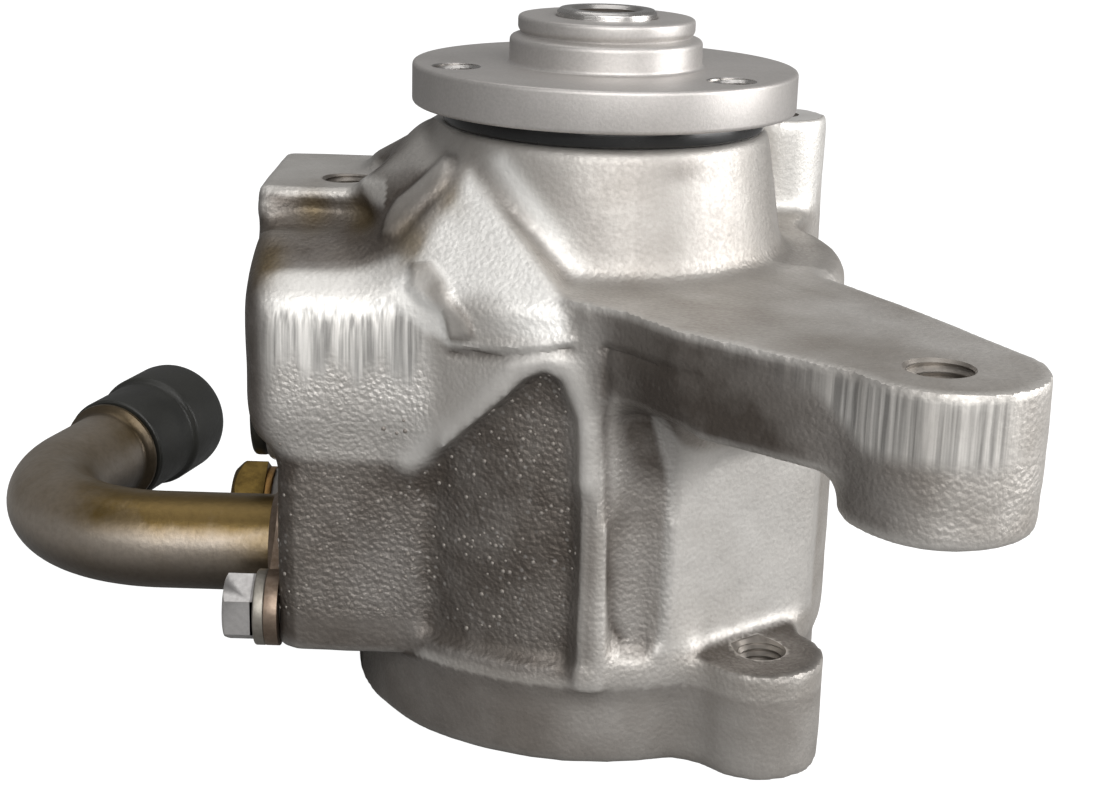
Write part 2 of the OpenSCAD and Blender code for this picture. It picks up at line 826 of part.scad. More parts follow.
module rear_plate() {
    color(steel_grey)
        difference() {
            ring(tail_r + 1.2, bore_r - fit_gap, rear_plate_z, rear_plate_t);
            bar(0, 0, spline_low - 1, spline_r + 2.4, 20);
            dowel_holes(rear_plate_z, rear_plate_t);
            for (a = [45, 225])
                rotate([0, 0, a])
                    bar(cam_small_r - 2, 0, rear_plate_z - 1, 3, rear_plate_t + 2);
        }
}

// A coned spring washer between cover and plate.
module plate_spring() {
    a = tail_r + 10;
    b = bore_r - 5.5;
    color(dark_steel)
        rotate_extrude()
            polygon([[a, rear_plate_z - 1.2], [a, rear_plate_z], [a + 0.4, rear_plate_z],
                [b, cover_top + 1.2], [b, cover_top], [b - 0.4, cover_top]]);
}

module dowel_pins() {
    color(steel_grey)
        dowel_pin_pair(rear_plate_z + 1, ceiling + 2.5);
}

module dowel_pin_pair(z0, z1) {
    for (s = [-1, 1])
        bar(0, s * (cam_d / 2 - 3.6), z0, dowel_r, z1 - z0);
}

module rear_cover() {
    r = bore_r - fit_gap;
    color(dark_steel)
        difference() {
            rotate_extrude()
                polygon([[0, cover_z], [bore_r - wire_d, cover_z], [r, cover_z],
                    [r, cover_z + 2.6], [r - 2.2, cover_z + 2.6], [r - 2.2, cover_z + 5.4],
                    [r, cover_z + 5.4], [r, cover_top - 0.6], [r - 0.6, cover_top], [0, cover_top]]);
            bar(0, 0, cover_z + cover_floor, tail_r + run_gap + 1.8, cover_t);
        }
}

module cover_o_ring() {
    color(rubber)
        squeezed_ring(bore_r - fit_gap - 2.2, bore_r, cover_z + 4, 2.7);
}

// The round wire that holds the cover in, open at one side.
module cover_wire_ring() {
    color(dark_steel)
        difference() {
            rotate_extrude()
                translate([bore_r, cover_z - wire_d / 2])
                    circle(wire_d / 2, $fn = 32);
            translate([0, -4, 0])
                cube([60, 8, 20]);
        }
}

module valve_spool() {
    color(steel_grey)
        difference() {
            translate([spool_left, -valve_y, valve_z])
                rotate([0, 90, 0])
                    rotate_extrude()
                        polygon([[0, 0], [spool_r - 1, 0], [spool_r, 1], [spool_r, 5], [spool_r - 1.6, 5],
                            [spool_r - 1.6, 9], [spool_r, 9], [spool_r, spool_len], [0, spool_len]]);
            cross_bar(relief_x, spool_right + 1, -valve_y, valve_z, 5.6);
            cross_bar(relief_floor, relief_x + 1, -valve_y, valve_z, relief_bore_r);
        }
}

module valve_spring() {
    color(dark_steel)
        translate([relief_x, -valve_y, valve_z])
            rotate([0, 90, 0])
                coil(5.4 - valve_wire / 2, valve_wire / 2, valve_end - relief_x, 5);
}

module valve_plug() {
    color(dark_steel)
        difference() {
            union() {
                cross_bar(-block_left + 0.8, plug_inner, -valve_y, valve_z, plug_d / 2);
                cross_bar(plug_inner - e, plug_inner + 0.9, -valve_y, valve_z, spool_r - 2);
            }
            translate([-block_left - 1, -valve_y, valve_z])
                rotate([0, 90, 0])
                    cylinder(r = 10 / sqrt(3), h = 6, $fn = 6);
            translate([plug_inner - 2.2, -valve_y, valve_z])
                rotate([0, 90, 0])
                    ring(plug_d / 2 - 1.6, plug_d, 0, 2.2);
        }
}

module valve_plug_o_ring() {
    color(rubber)
        translate([plug_inner - 1.1, -valve_y, valve_z])
            rotate([0, 90, 0])
                squeezed_ring(plug_d / 2 - 1.6, plug_d / 2, 0, 2);
}

module relief_ball() {
    color(steel_grey)
        translate([relief_ball_x, -valve_y, valve_z])
            sphere(relief_r);
}

module relief_spring() {
    low = relief_floor;
    high = relief_ball_x - relief_r * 0.75;
    color(dark_steel)
        translate([low, -valve_y, valve_z])
            rotate([0, 90, 0])
                coil(relief_bore_r - 0.75, 0.35, high - low, 5);
}

module relief_seat() {
    color(bronze)
        difference() {
            cross_bar(relief_x - relief_seat_len, relief_x, -valve_y, valve_z, relief_bore_r);
            cross_bar(relief_x - 9, relief_x + 1, -valve_y, valve_z, relief_r * 0.6);
        }
}

// Puts its children on the pipe's open end, their Z along the pipe, at a distance from the bend.
module on_tail(distance) {
    translate([-pipe_run, pipe_bend_r - pipe_y, pipe_z])
        rotate([0, 0, -90 - pipe_bend])
            translate([pipe_bend_r, -distance, 0])
                rotate([90, 0, 0])
                    children();
}

module suction_pipe() {
    bore = pipe_r - pipe_wall;
    inner_end = -inlet_left + spigot_len - 1;
    lap = 0.3;
    skin = 0.02;
    color(olive_zinc)
        union() {
            translate([-pipe_run - lap, -pipe_y, pipe_z])
                rotate([0, 90, 0])
                    ring(bore, pipe_r, 0, inner_end + pipe_run + lap);
            translate([-pipe_run, pipe_bend_r - pipe_y, pipe_z])
                rotate([0, 0, -90 - pipe_bend])
                    rotate_extrude(angle = pipe_bend)
                        translate([pipe_bend_r, 0])
                            difference() {
                                circle(pipe_r - skin);
                                circle(bore + skin);
                            }
            on_tail(-lap)
                ring(bore, pipe_r, 0, pipe_tail + lap);
            on_tail(cap_start - bead_t)
                ring(pipe_r - 0.5, pipe_r + bead_out, 0, bead_t);
        }
}

// The plate that clamps the pipe to the block, brazed to the pipe.
module pipe_flange() {
    r = plate_d / 2;
    ear = washer_d / 2;
    color(olive_zinc)
        difference() {
            union() {
                translate([plate_x, 0, 0])
                    rotate([90, 0, 90])
                        linear_extrude(plate_t) {
                            translate([-pipe_y, pipe_z])
                                circle(r);
                            translate([bolt_y, bolt_z])
                                circle(ear);
                            polygon([[bolt_y + 1.4, bolt_z + ear - 0.2], [bolt_y - 1, bolt_z - ear + 0.1],
                                [-pipe_y - 2, pipe_z - r + 0.3], [-pipe_y - 2, pipe_z + r - 0.3]]);
                        }
                translate([plate_x - braze, -pipe_y, pipe_z])
                    rotate([0, 90, 0])
                        rotate_extrude()
                            polygon([[pipe_r - 0.2, 0], [pipe_r + 0.2, 0], [pipe_r + braze * 0.5, braze * 0.5],
                                [pipe_r + braze, braze], [pipe_r + braze, braze + 1], [pipe_r - 0.2, braze + 1]]);
            }
            cross_bar(-90, -20, -pipe_y, pipe_z, pipe_r);
            cross_bar(-90, -20, bolt_y, bolt_z, bolt_d / 2 + 0.2);
        }
}

module pipe_o_ring() {
    color(rubber)
        translate([-inlet_left + spigot_len * 0.45, -pipe_y, pipe_z])
            rotate([0, 90, 0])
                squeezed_ring(pipe_r, inlet_bore_r, 0, 2.5);
}

module pipe_bolt() {
    color(steel_grey)
        union() {
            cross_bar(washer_x, -inlet_left + bolt_grip, bolt_y, bolt_z, bolt_d / 2);
            translate([washer_x - bolt_head, bolt_y, bolt_z])
                rotate([0, 90, 0])
                    cylinder(r = bolt_af / sqrt(3), h = bolt_head, $fn = 6);
        }
}

module pipe_washer() {
    color(steel_grey)
        difference() {
            cross_bar(washer_x, washer_x + washer_t, bolt_y, bolt_z, washer_d / 2);
            cross_bar(washer_x - 1, washer_x + washer_t + 1, bolt_y, bolt_z, bolt_d / 2);
        }
}

// The rubber cap pushed over the pipe's open end, with a thicker second half and a domed end.
module pipe_cap() {
    out = pipe_r + cap_wall;
    half = cap_len * 0.45;
    hollow = pipe_tail - cap_start;
    color(rubber)
        on_tail(cap_start)
            rotate_extrude()
                polygon(concat(
                    [[pipe_r, 0], [out, 0], [out, half], [out + cap_step, half + 0.8],
                        [out + cap_step, cap_len - cap_dome]],
                    arc([out + cap_step - cap_dome, cap_len - cap_dome], cap_dome, 15, 90, 5),
                    [[0, cap_len], [0, hollow], [pipe_r, hollow]]));
}

// The rubber plug in the outlet.
module outlet_plug() {
    color(rubber)
        union() {
            cross_bar(-outlet_face - outlet_head, -outlet_face, outlet_y, outlet_z, outlet_d / 2 + 1.8);
            cross_bar(-outlet_face - e, -outlet_face + outlet_grip, outlet_y, outlet_z, outlet_d / 2);
        }
}

// The screw plug behind the pipe: a chamfered hexagon on a threaded stem.
module side_plug() {
    tip = side_af / sqrt(3);
    color(olive_zinc)
        translate([side_head_x, side_y, side_z])
            rotate([0, 90, 0]) {
                intersection() {
                    translate([0, 0, -side_head])
                        cylinder(r = tip, h = side_head, $fn = 6);
                    translate([0, 0, -side_head])
                        cylinder(r1 = side_af / 2 - 0.6, r2 = side_af / 2 + side_head, h = side_head + 0.6);
                }
                translate([0, 0, -e])
                    cylinder(r = side_thread_d / 2, h = side_grip + side_washer_t + e);
            }
}

module side_washer() {
    color(bronze)
        translate([side_head_x, side_y, side_z])
            rotate([0, 90, 0])
                ring(side_thread_d / 2, side_af / 2, 0, side_washer_t);
}

pump_housing();
hub_flange();
drive_shaft();
dust_ring();
shaft_seal();
seal_spring();
bearing_outer_ring();
bearing_inner_ring();
bearing_balls();
bearing_cage();
bearing_circlip();
shaft_circlip();
front_bush();
rear_bush();
front_plate();
cam_ring();
rotor();
vanes();
rotor_circlip();
rear_plate();
plate_spring();
dowel_pins();
rear_cover();
cover_o_ring();
cover_wire_ring();
valve_spool();
valve_spring();
valve_plug();
valve_plug_o_ring();
relief_ball();
relief_spring();
relief_seat();
suction_pipe();
pipe_flange();
pipe_o_ring();
pipe_bolt();
pipe_washer();
pipe_cap();
outlet_plug();
side_plug();
side_washer();
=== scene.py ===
import math

import bmesh
import bpy
import numpy as np
from mathutils import Matrix, Vector, noise


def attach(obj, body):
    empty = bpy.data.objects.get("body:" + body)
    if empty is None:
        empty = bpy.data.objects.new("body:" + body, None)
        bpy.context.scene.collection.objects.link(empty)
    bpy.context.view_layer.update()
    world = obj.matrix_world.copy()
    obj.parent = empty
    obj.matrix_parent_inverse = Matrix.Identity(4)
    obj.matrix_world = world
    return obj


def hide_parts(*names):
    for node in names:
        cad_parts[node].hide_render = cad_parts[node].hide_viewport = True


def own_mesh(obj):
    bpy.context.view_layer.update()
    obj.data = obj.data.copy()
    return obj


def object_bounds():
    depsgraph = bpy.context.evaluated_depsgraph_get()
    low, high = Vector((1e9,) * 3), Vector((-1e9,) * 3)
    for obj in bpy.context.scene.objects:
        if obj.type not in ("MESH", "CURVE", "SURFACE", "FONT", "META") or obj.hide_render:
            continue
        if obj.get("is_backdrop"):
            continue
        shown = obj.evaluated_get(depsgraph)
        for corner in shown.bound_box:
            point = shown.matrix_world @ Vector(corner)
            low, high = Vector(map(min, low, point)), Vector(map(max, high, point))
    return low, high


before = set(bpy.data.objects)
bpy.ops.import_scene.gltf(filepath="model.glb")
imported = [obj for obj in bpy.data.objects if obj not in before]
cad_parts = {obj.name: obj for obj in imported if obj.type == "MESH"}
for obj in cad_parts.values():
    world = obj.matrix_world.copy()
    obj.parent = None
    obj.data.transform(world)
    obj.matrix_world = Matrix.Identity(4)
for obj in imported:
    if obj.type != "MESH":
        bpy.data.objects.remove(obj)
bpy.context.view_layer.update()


# Housing.
# One sand casting in aluminium: a round body with nose, valve block, inlet block, bracket arm and lugs.
# The skin keeps the mould's grain; only bores, threads and seating faces are cut after casting.
MM = 0.001


def polar(reach, degrees, z):
    """A point in millimetres at a reach and direction from the shaft axis."""
    return Vector((reach * math.cos(math.radians(degrees)), reach * math.sin(math.radians(degrees)), z))


def drum(a, b, radius, end_radius=None, sides=64):
    """A closed round bar or cone between two points in millimetres."""
    a, b = Vector(a), Vector(b)
    made = bmesh.new()
    turn = (b - a).to_track_quat("Z", "Y").to_matrix().to_4x4()
    bmesh.ops.create_cone(
        made, cap_ends=True, segments=sides, radius1=radius * MM,
        radius2=(radius if end_radius is None else end_radius) * MM,
        depth=(b - a).length * MM, matrix=Matrix.Translation((a + b) / 2 * MM) @ turn,
    )
    return made


def slab(low, high):
    """A closed box between two corners in millimetres."""
    low, high = Vector(low), Vector(high)
    made = bmesh.new()
    place = Matrix.Translation((low + high) / 2 * MM) @ Matrix.Diagonal(((high - low) * MM).to_4d())
    bmesh.ops.create_cube(made, size=1, matrix=place)
    return made


def joined(made, other):
    """Adds a bmesh to another and frees it."""
    spare = bpy.data.meshes.new("spare")
    other.to_mesh(spare)
    other.free()
    made.from_mesh(spare)
    bpy.data.meshes.remove(spare)


def solid(name, made, *materials):
    """An object from a bmesh, which is freed."""
    mesh = bpy.data.meshes.new(name)
    made.to_mesh(mesh)
    made.free()
    for each in materials:
        mesh.materials.append(each)
    thing = bpy.data.objects.new(name, mesh)
    bpy.context.collection.objects.link(thing)
    return thing


def settle(thing):
    """Puts a plain mesh, as its modifiers leave it, in the object's place."""
    thing.update_tag()
    depsgraph = bpy.context.evaluated_depsgraph_get()
    mesh = bpy.data.meshes.new_from_object(thing.evaluated_get(depsgraph), depsgraph=depsgraph)
    thing.modifiers.clear()
    thing.data = mesh
    return mesh


def hex_colour(code):
    """An sRGB hex colour as linear RGBA."""
    channel = [int(code[i : i + 2], 16) / 255 for i in (1, 3, 5)]
    return [c / 12.92 if c <= 0.04045 else ((c + 0.055) / 1.055) ** 2.4 for c in channel] + [1.0]


def feed(tree, node, inputs):
    """Sets or links the inputs of a node."""
    for name, value in inputs.items():
        if isinstance(value, bpy.types.NodeSocket):
            tree.links.new(value, node.inputs[name])
        else:
            node.inputs[name].default_value = value


def add(tree, kind, settings=None, inputs=None):
    """Adds a node to a tree, sets its options, and sets or links its inputs."""
    node = tree.nodes.new(kind)
    for name, value in (settings or {}).items():
        setattr(node, name, value)
    feed(tree, node, inputs or {})
    return node


def noised(tree, place, size_mm, detail, rough=0.5):
    """Noise whose lumps are about this size."""
    inputs = {"Vector": place, "Scale": 1 / (size_mm * MM), "Detail": detail, "Roughness": rough}
    return add(tree, "ShaderNodeTexNoise", None, inputs).outputs["Fac"]


def ranged(tree, value, start, end, low, high, ease="LINEAR"):
    """A value taken from one range to another and held at both ends."""
    inputs = {"Value": value, "From Min": start, "From Max": end, "To Min": low, "To Max": high}
    return add(tree, "ShaderNodeMapRange", {"interpolation_type": ease}, inputs).outputs["Result"]


def mixed(tree, share, first, second, blend="MIX"):
    """A colour between two, each of them a hex code or a socket."""
    first, second = (hex_colour(each) if isinstance(each, str) else each for each in (first, second))
    settings = {"data_type": "RGBA", "blend_type": blend}
    return add(tree, "ShaderNodeMix", settings, {0: share, 6: first, 7: second}).outputs[2]


def calc(tree, operation, *values, clamp=False):
    """The result of one step of arithmetic on sockets and numbers."""
    settings = {"operation": operation, "use_clamp": clamp}
    return add(tree, "ShaderNodeMath", settings, dict(enumerate(values))).outputs[0]


def bumped(tree, height, strength, depth_mm):
    """A normal tilted by a height."""
    inputs = {"Strength": strength, "Distance": depth_mm * MM, "Height": height}
    return add(tree, "ShaderNodeBump", None, inputs).outputs["Normal"]


def new_material(name):
    """An empty material with its tree, its shader and the object's own coordinates."""
    made = bpy.data.materials.new(name)
    made.use_nodes = True
    tree = made.node_tree
    tree.nodes.clear()
    shader = add(tree, "ShaderNodeBsdfPrincipled")
    add(tree, "ShaderNodeOutputMaterial", None, {"Surface": shader.outputs["BSDF"]})
    place = add(tree, "ShaderNodeTexCoord").outputs["Object"]
    return made, tree, shader, place


# Sand-cast aluminium: the mould leaves a matt, pebbled skin; its sparkle is painted glints on the coarsest sand.
# Sand is about 0.3 mm; its grain and pebbles are drawn coarser, at 0.7 to 0.8 mm, so that they show.
cast_skin, tree, shader, place = new_material("sand_cast_aluminium")
# Marks per vertex: painted shade in hollows; soot with painted shade; file strokes; wear with painted highlights;
# sand grit; ochre oil stains.
SKIN_MARKS = ("hollow", "soot_and_shade", "dressed", "wear_and_highlight", "grit", "ochre")
hollow, soot_and_shade, dressed, wear_and_highlight, grit, ochre = (
    add(tree, "ShaderNodeAttribute", {"attribute_name": name}).outputs["Fac"] for name in SKIN_MARKS
)
clouds = noised(tree, place, 16.67, 3.0, 0.5)
grain = noised(tree, place, 0.6667, 3.0, 0.6)
pebble = add(
    tree, "ShaderNodeTexVoronoi", {"feature": "SMOOTH_F1"},
    {"Vector": place, "Scale": 1 / (0.8 * MM), "Smoothness": 0.5, "Randomness": 1.0},
)
upright = add(tree, "ShaderNodeMapping", None, {"Vector": place, "Scale": (1.0, 1.0, 0.03)})
strokes = noised(tree, upright.outputs["Vector"], 1, 2.0, 0.6)
tone = ranged(tree, clouds, 0.3, 0.7, 0.0, 1.0)
body_colour = mixed(tree, tone, "#938d86", "#b6b2ad")
speck = ranged(tree, grain, 0.35, 0.65, 0.86, 1.08)
sandiness = ranged(tree, grit, 0.0, 1.0, 0.2, 1.0)
grained = mixed(tree, sandiness, body_colour, speck, "MULTIPLY")
blotch = noised(tree, place, 9.524, 5.0, 0.62)
patchy = ranged(tree, blotch, 0.36, 0.64, 0.84, 1.12)
# Soot and painted shade: a dark brown laid over some dirt and over recesses, undersides and faces turned from the
# light.
soot_and_shade_here = calc(tree, "MULTIPLY", soot_and_shade, patchy, clamp=True)
darkened = mixed(tree, soot_and_shade_here, grained, "#4f4842")
# Painted shade in hollows: concave places are darkened.
shaded_in_hollows = mixed(tree, hollow, darkened, "#3f372f")
oiled = mixed(tree, ochre, shaded_in_hollows, "#6b5a34")
# Wear and painted highlights: worn places and lit faces painted light.
worn_and_highlit = mixed(tree, wear_and_highlight, oiled, "#e2e0dc")
# Painted glints: small bright specks on the coarse skin.
glints = add(
    tree, "ShaderNodeTexVoronoi", {"feature": "F1"},
    {"Vector": place, "Scale": 1 / (1.2195 * MM), "Randomness": 1.0},
)
glint_size = ranged(tree, glints.outputs["Distance"], 0.36, 0.12, 0.0, 1.0, "SMOOTHSTEP")
glint_pick = ranged(tree, glints.outputs["Color"], 0.5, 0.8, 0.0, 1.0)
glint_here = calc(tree, "MULTIPLY", glint_size, glint_pick)
coarse = ranged(tree, grit, 0.35, 0.95, 0.0, 0.32)
glint = calc(tree, "MULTIPLY", glint_here, coarse)
sparkling = mixed(tree, glint, worn_and_highlit, "#cfccc8")
streak = ranged(tree, strokes, 0.36, 0.64, 0.5, 1.22)
combed = mixed(tree, dressed, sparkling, streak, "MULTIPLY")
sand_height = calc(tree, "MULTIPLY_ADD", pebble.outputs["Distance"], -0.9, grain)
height = add(tree, "ShaderNodeMix", {"data_type": "FLOAT"}, {0: dressed, 2: sand_height, 3: strokes})
depth = ranged(tree, grit, 0.0, 1.0, 0.04, 0.62)
relief = bumped(tree, height.outputs[0], depth, 0.5)
dull = ranged(tree, grain, 0.35, 0.65, 0.56, 0.42)
feed(tree, shader, {"Base Color": combed, "Normal": relief, "Roughness": dull, "Metallic": 0.7})

# Milled aluminium: fine tool marks, much smoother and lighter than the cast skin around it.
# Real marks are about 0.1 mm apart; they are drawn coarser, at 0.4 mm.
milled, tree, shader, place = new_material("milled_aluminium")
lines = noised(tree, place, 0.3846, 2.0)
stain = noised(tree, place, 7.692, 4.0)
shade = mixed(tree, stain, "#b9b6b2", "#d6d4d1")
marks = bumped(tree, lines, 0.2, 0.2)
feed(tree, shader, {"Base Color": shade, "Normal": marks, "Metallic": 0.6, "Roughness": 0.42})

# Cut aluminium under old oil, painted darker for the shade inside the holes: thread flanks and the small seats
# hold a brown film and dust.
tapped_skin, tree, shader, place = new_material("oily_shaded_cut_aluminium")
smear = noised(tree, place, 3.333, 4.0)
shade = mixed(tree, smear, "#5a534c", "#aaa49d")
feed(tree, shader, {"Base Color": shade, "Metallic": 0.8, "Roughness": 0.38})

# Everything cut after casting: (from, to, radius) of each bore, filled for the skin and cut again afterwards.
# An axis is the (y, z) of a bore that runs along x.
VALVE_AXIS = (-16, 60)
PIPE_AXIS = (-4, 22)
OUTLET_AXIS = (9.5, 42.5)
BOLT_AXIS = (-22, 17.8)
PLUG_AXIS = (17.6, 18.2)
ARM_DEGREES = -58
LUG_DEGREES = -51
ARM_HOLE = polar(82.8, ARM_DEGREES, 0)
LUG_HOLE = polar(43, LUG_DEGREES, 0)
EAR_HOLE = Vector((-41.5, -1, 0))
FAR_HOLE = Vector((32, 37, 0))
BORES = [
    ((0, 0, -2), (0, 0, 46), 31.5),
    ((0, 0, 40), (0, 0, 97), 17.5),
    ((-56.5, *VALVE_AXIS), (-46, *VALVE_AXIS), 10.0),
    ((-48, *VALVE_AXIS), (-14.5, *VALVE_AXIS), 8.03),
    ((-51.5, *PIPE_AXIS), (-40.5, *PIPE_AXIS), 10.3),
    ((-42, *PIPE_AXIS), (-24, *PIPE_AXIS), 6.9),
    ((-57.5, *OUTLET_AXIS), (-36, *OUTLET_AXIS), 7.0),
    ((-52, *BOLT_AXIS), (-37, *BOLT_AXIS), 3.0),
    ((-58, *PLUG_AXIS), (-45.3, *PLUG_AXIS), 7.0),
]
# Threaded holes: centre, lower and upper end of the drill, face, core radius and pitch.
M8_CORE_RADIUS = 3.4
M8_PITCH = 1.25
THREADS = [
    (ARM_HOLE, 52, 76.5, 75.5, 4.25, 1.5),
    (LUG_HOLE, -1.5, 19, 18, M8_CORE_RADIUS, M8_PITCH),
    (EAR_HOLE, 67, 86, 85, M8_CORE_RADIUS, M8_PITCH),
    (FAR_HOLE, 74, 93, 92, M8_CORE_RADIUS, M8_PITCH),
]

raw = bmesh.new()
raw.from_mesh(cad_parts["pump_housing"].data)
bmesh.ops.remove_doubles(raw, verts=raw.verts, dist=2e-6)
fills = [
    ((0, 0, 0), (0, 0, 50), 34),
    ((0, 0, 40), (0, 0, 95.3), 20),
    ((-55, *VALVE_AXIS), (-12, *VALVE_AXIS), 11),
    ((-50, *PIPE_AXIS), (-20, *PIPE_AXIS), 11),
    ((-56, *OUTLET_AXIS), (-30, *OUTLET_AXIS), 7.6),
    ((-50, *BOLT_AXIS), (-36, *BOLT_AXIS), 3.5),
    ((-56.8, *PLUG_AXIS), (-30, *PLUG_AXIS), 7.6),
    ((*ARM_HOLE.xy, 53.7), (*ARM_HOLE.xy, 75.5), 5.5),
]
for centre, low, high, face, radius, pitch in THREADS[1:]:
    fills.append(((*centre.xy, max(low, 0)), (*centre.xy, face), radius + 1.2))
for low, high, radius in fills:
    joined(raw, drum(low, high, radius))
housing = solid("housing_casting", raw, cast_skin, milled, tapped_skin)
skin = housing.modifiers.new("skin", "REMESH")
skin.mode = "VOXEL"
skin.voxel_size = 0.8 * MM
mesh = settle(housing)

# Mould corners are round: hollow corners fill in step by step, outer corners lose only their sharpness.
count = len(mesh.vertices)
spots = np.empty(count * 3)
mesh.vertices.foreach_get("co", spots)
spots = spots.reshape(-1, 3) / MM
edges = np.empty(len(mesh.edges) * 2, np.int64)
mesh.edges.foreach_get("vertices", edges)
edges = edges.reshape(-1, 2)
quads = np.empty(len(mesh.polygons) * 4, np.int64)
mesh.polygons.foreach_get("vertices", quads)
quads = quads.reshape(-1, 4)
valence = np.bincount(edges.ravel(), minlength=count)


def around(values):
    """The mean of each vertex's neighbours."""
    a, b = edges.T
    total = [np.bincount(a, column[b], count) + np.bincount(b, column[a], count) for column in values.T]
    return np.stack(total, 1) / valence[:, None]


def outward():
    """Unit normals of the vertices."""
    flat = np.cross(spots[quads[:, 2]] - spots[quads[:, 0]], spots[quads[:, 3]] - spots[quads[:, 1]])
    total = np.stack([sum(np.bincount(quads[:, k], c, count) for k in range(4)) for c in flat.T], 1)
    return total / np.linalg.norm(total, axis=1, keepdims=True)


def between(value, low, high, soft):
    """1 inside a range, easing to 0 outside it."""
    return np.clip((value - low) / soft + 0.5, 0, 1) * np.clip((high - value) / soft + 0.5, 0, 1)


def beside(path):
    """Distance of each vertex from a path drawn in x and z, seen from the front."""
    best = np.full(count, 1e9)
    for (xa, za), (xb, zb) in zip(path, path[1:]):
        run, rise = xb - xa, zb - za
        share = np.clip(((x - xa) * run + (z - za) * rise) / (run ** 2 + rise ** 2), 0, 1)
        best = np.minimum(best, np.hypot(x - xa - share * run, z - za - share * rise))
    return best


def within(shape, soft):
    """1 inside a shape drawn in x and z, easing to 0 outside it."""
    hit = np.zeros(count, bool)
    for (xa, za), (xb, zb) in zip(shape, shape[1:] + shape[:1]):
        if za != zb:
            hit ^= ((za > z) != (zb > z)) & (x < (xb - xa) * (z - za) / (zb - za) + xa)
    edge = beside(shape + shape[:1])
    return np.clip(np.where(hit, edge, -edge) / soft + 0.5, 0, 1)


# The valve block is pillowed and the ground between it and the arch runs out smoothly, so these ease further.
x, y, z = spots.T
arm_way = np.radians(ARM_DEGREES)
along = x * np.cos(arm_way) + y * np.sin(arm_way)
pillow = between(x, -62, -25, 3) * between(z, 43, 79, 3) * (y < -6)
run_out = within([(-36, 42), (-13, 71), (-2, 70), (-6, 66.5), (-9.5, 66), (-28.5, 44.5)], 2) * (y < -18)
panel_edge = between(x, 9.5, 17, 2) * between(z, 18, 60, 2) * (y < -20)
arm_root = within([(1.5, 46), (1.5, 70), (20, 70), (24, 58), (14, 46)], 3) * (y < -24)
boss_root = between(along, 58, 82, 4) * between(z, 48, 67, 3)
arm_blend = within([(2, 42), (2, 67), (10, 67), (13, 58), (12, 42)], 3) * (y < -26)
crisp = between(along, 22, 110, 4) * between(z, 72.5, 77.5, 1)
crisp = np.maximum(crisp, np.exp(-((beside([(-17.2, 86.5), (-5.4, 75.5)]) / 2) ** 2)) * (y < -18))
from_lug = np.hypot(x - LUG_HOLE.x, y - LUG_HOLE.y)
crisp = np.maximum(crisp, between(from_lug, -1, 14, 2) * between(z, 15, 20, 1))
for round_number in range(12):
    facing = outward()
    step = around(spots) - spots
    filling = (step * facing).sum(1) > 0
    spots += step * np.where(filling, 0.6, 0.22 - 0.19 * crisp)[:, None]
for round_number in range(85):
    facing = outward()
    step = around(spots) - spots
    filling = (step * facing).sum(1) > 0
    easing = np.maximum(0.5 * pillow, 0.4 * arm_blend)
    fillet = 0.6 * filling * np.max([run_out, panel_edge, arm_root, boss_root], 0)
    spots += step * np.maximum(easing, fillet)[:, None]
facing = outward()
bend = ((around(spots) - spots) * facing).sum(1, keepdims=True)
for round_number in range(5):
    bend = 0.5 * bend + 0.5 * around(bend)
bend = bend[:, 0]

# What the mould left where, and where painted shade and highlights go: panels, ribs, dressed edges, flaws, shaded
# and lit places, drawn as they show from the front.
x, y, z = spots.T
reach = np.hypot(x, y)
along = x * np.cos(arm_way) + y * np.sin(arm_way)
for round_number in range(4):
    facing = around(facing)
facing /= np.linalg.norm(facing, axis=1, keepdims=True)
upward = facing[:, 2]
front = np.clip(-facing[:, 1] * 2 - 0.3, 0, 1)
ahead = (y < -18).astype(float)
wall = np.clip(1.3 - 2.5 * np.abs(upward), 0, 1)
arch_shape = [(-27, 15), (-27, 45.5), (-10.5, 63), (-8, 64.2), (-5.4, 63), (-3.2, 57), (-2.6, 40), (-2.6, 15)]
arch = within(arch_shape, 1.6) * ahead
band_line = [(-29, 46.5), (-12, 65.2), (-8.2, 66.9), (-4.2, 65.6), (-1.8, 58), (-1.2, 48)]
band = np.exp(-((beside(band_line) / 2.0) ** 2)) * ahead
channel = within([(3, 20), (3, 67), (11, 67), (12, 56), (12, 22), (8, 18.5)], 1.6) * ahead
lug_way = np.radians(LUG_DEGREES)
flat_side = x * np.cos(lug_way) + y * np.sin(lug_way)
panel = between(flat_side, 36.4, 38.9, 0.6) * between(z, 19, 60, 2) * (y < 5) * (x > 8)
block = between(x, -57, -25.5, 2) * between(z, 46, 76, 2) * front * (y < -24)
stroke_foot = 61.5 + 1.6 * np.sin(0.9 * x) + np.sin(2.3 * x + 1)
block_face = between(x, -53, -27, 3) * between(z, stroke_foot, 75.6, 4) * front * (y < -24)
block_face *= np.clip(1.7 - 3 * upward, 0, 1)
inlet = between(x, -51, -27, 1.5) * between(z, 13, 46, 1.5) * (y < -22)
stroke_low = 74.5 - 3.5 * np.clip((along - 46) / 26, 0, 1) - 5.5 * np.clip((along - 74) / 8, 0, 1)
arm_edge = between(along, 44, 100, 6) * wall * between(z, stroke_low, 77.5, 2.5)
arm_edge *= 0.25 + 0.75 * np.clip((along - 66) / 12, 0, 1)
arm_edge *= np.clip(1.6 - 2.2 * facing[:, 0], 0.1, 1)
tip_low = between(along, 72, 110, 6) * wall * (z < stroke_low) * (z > 50)
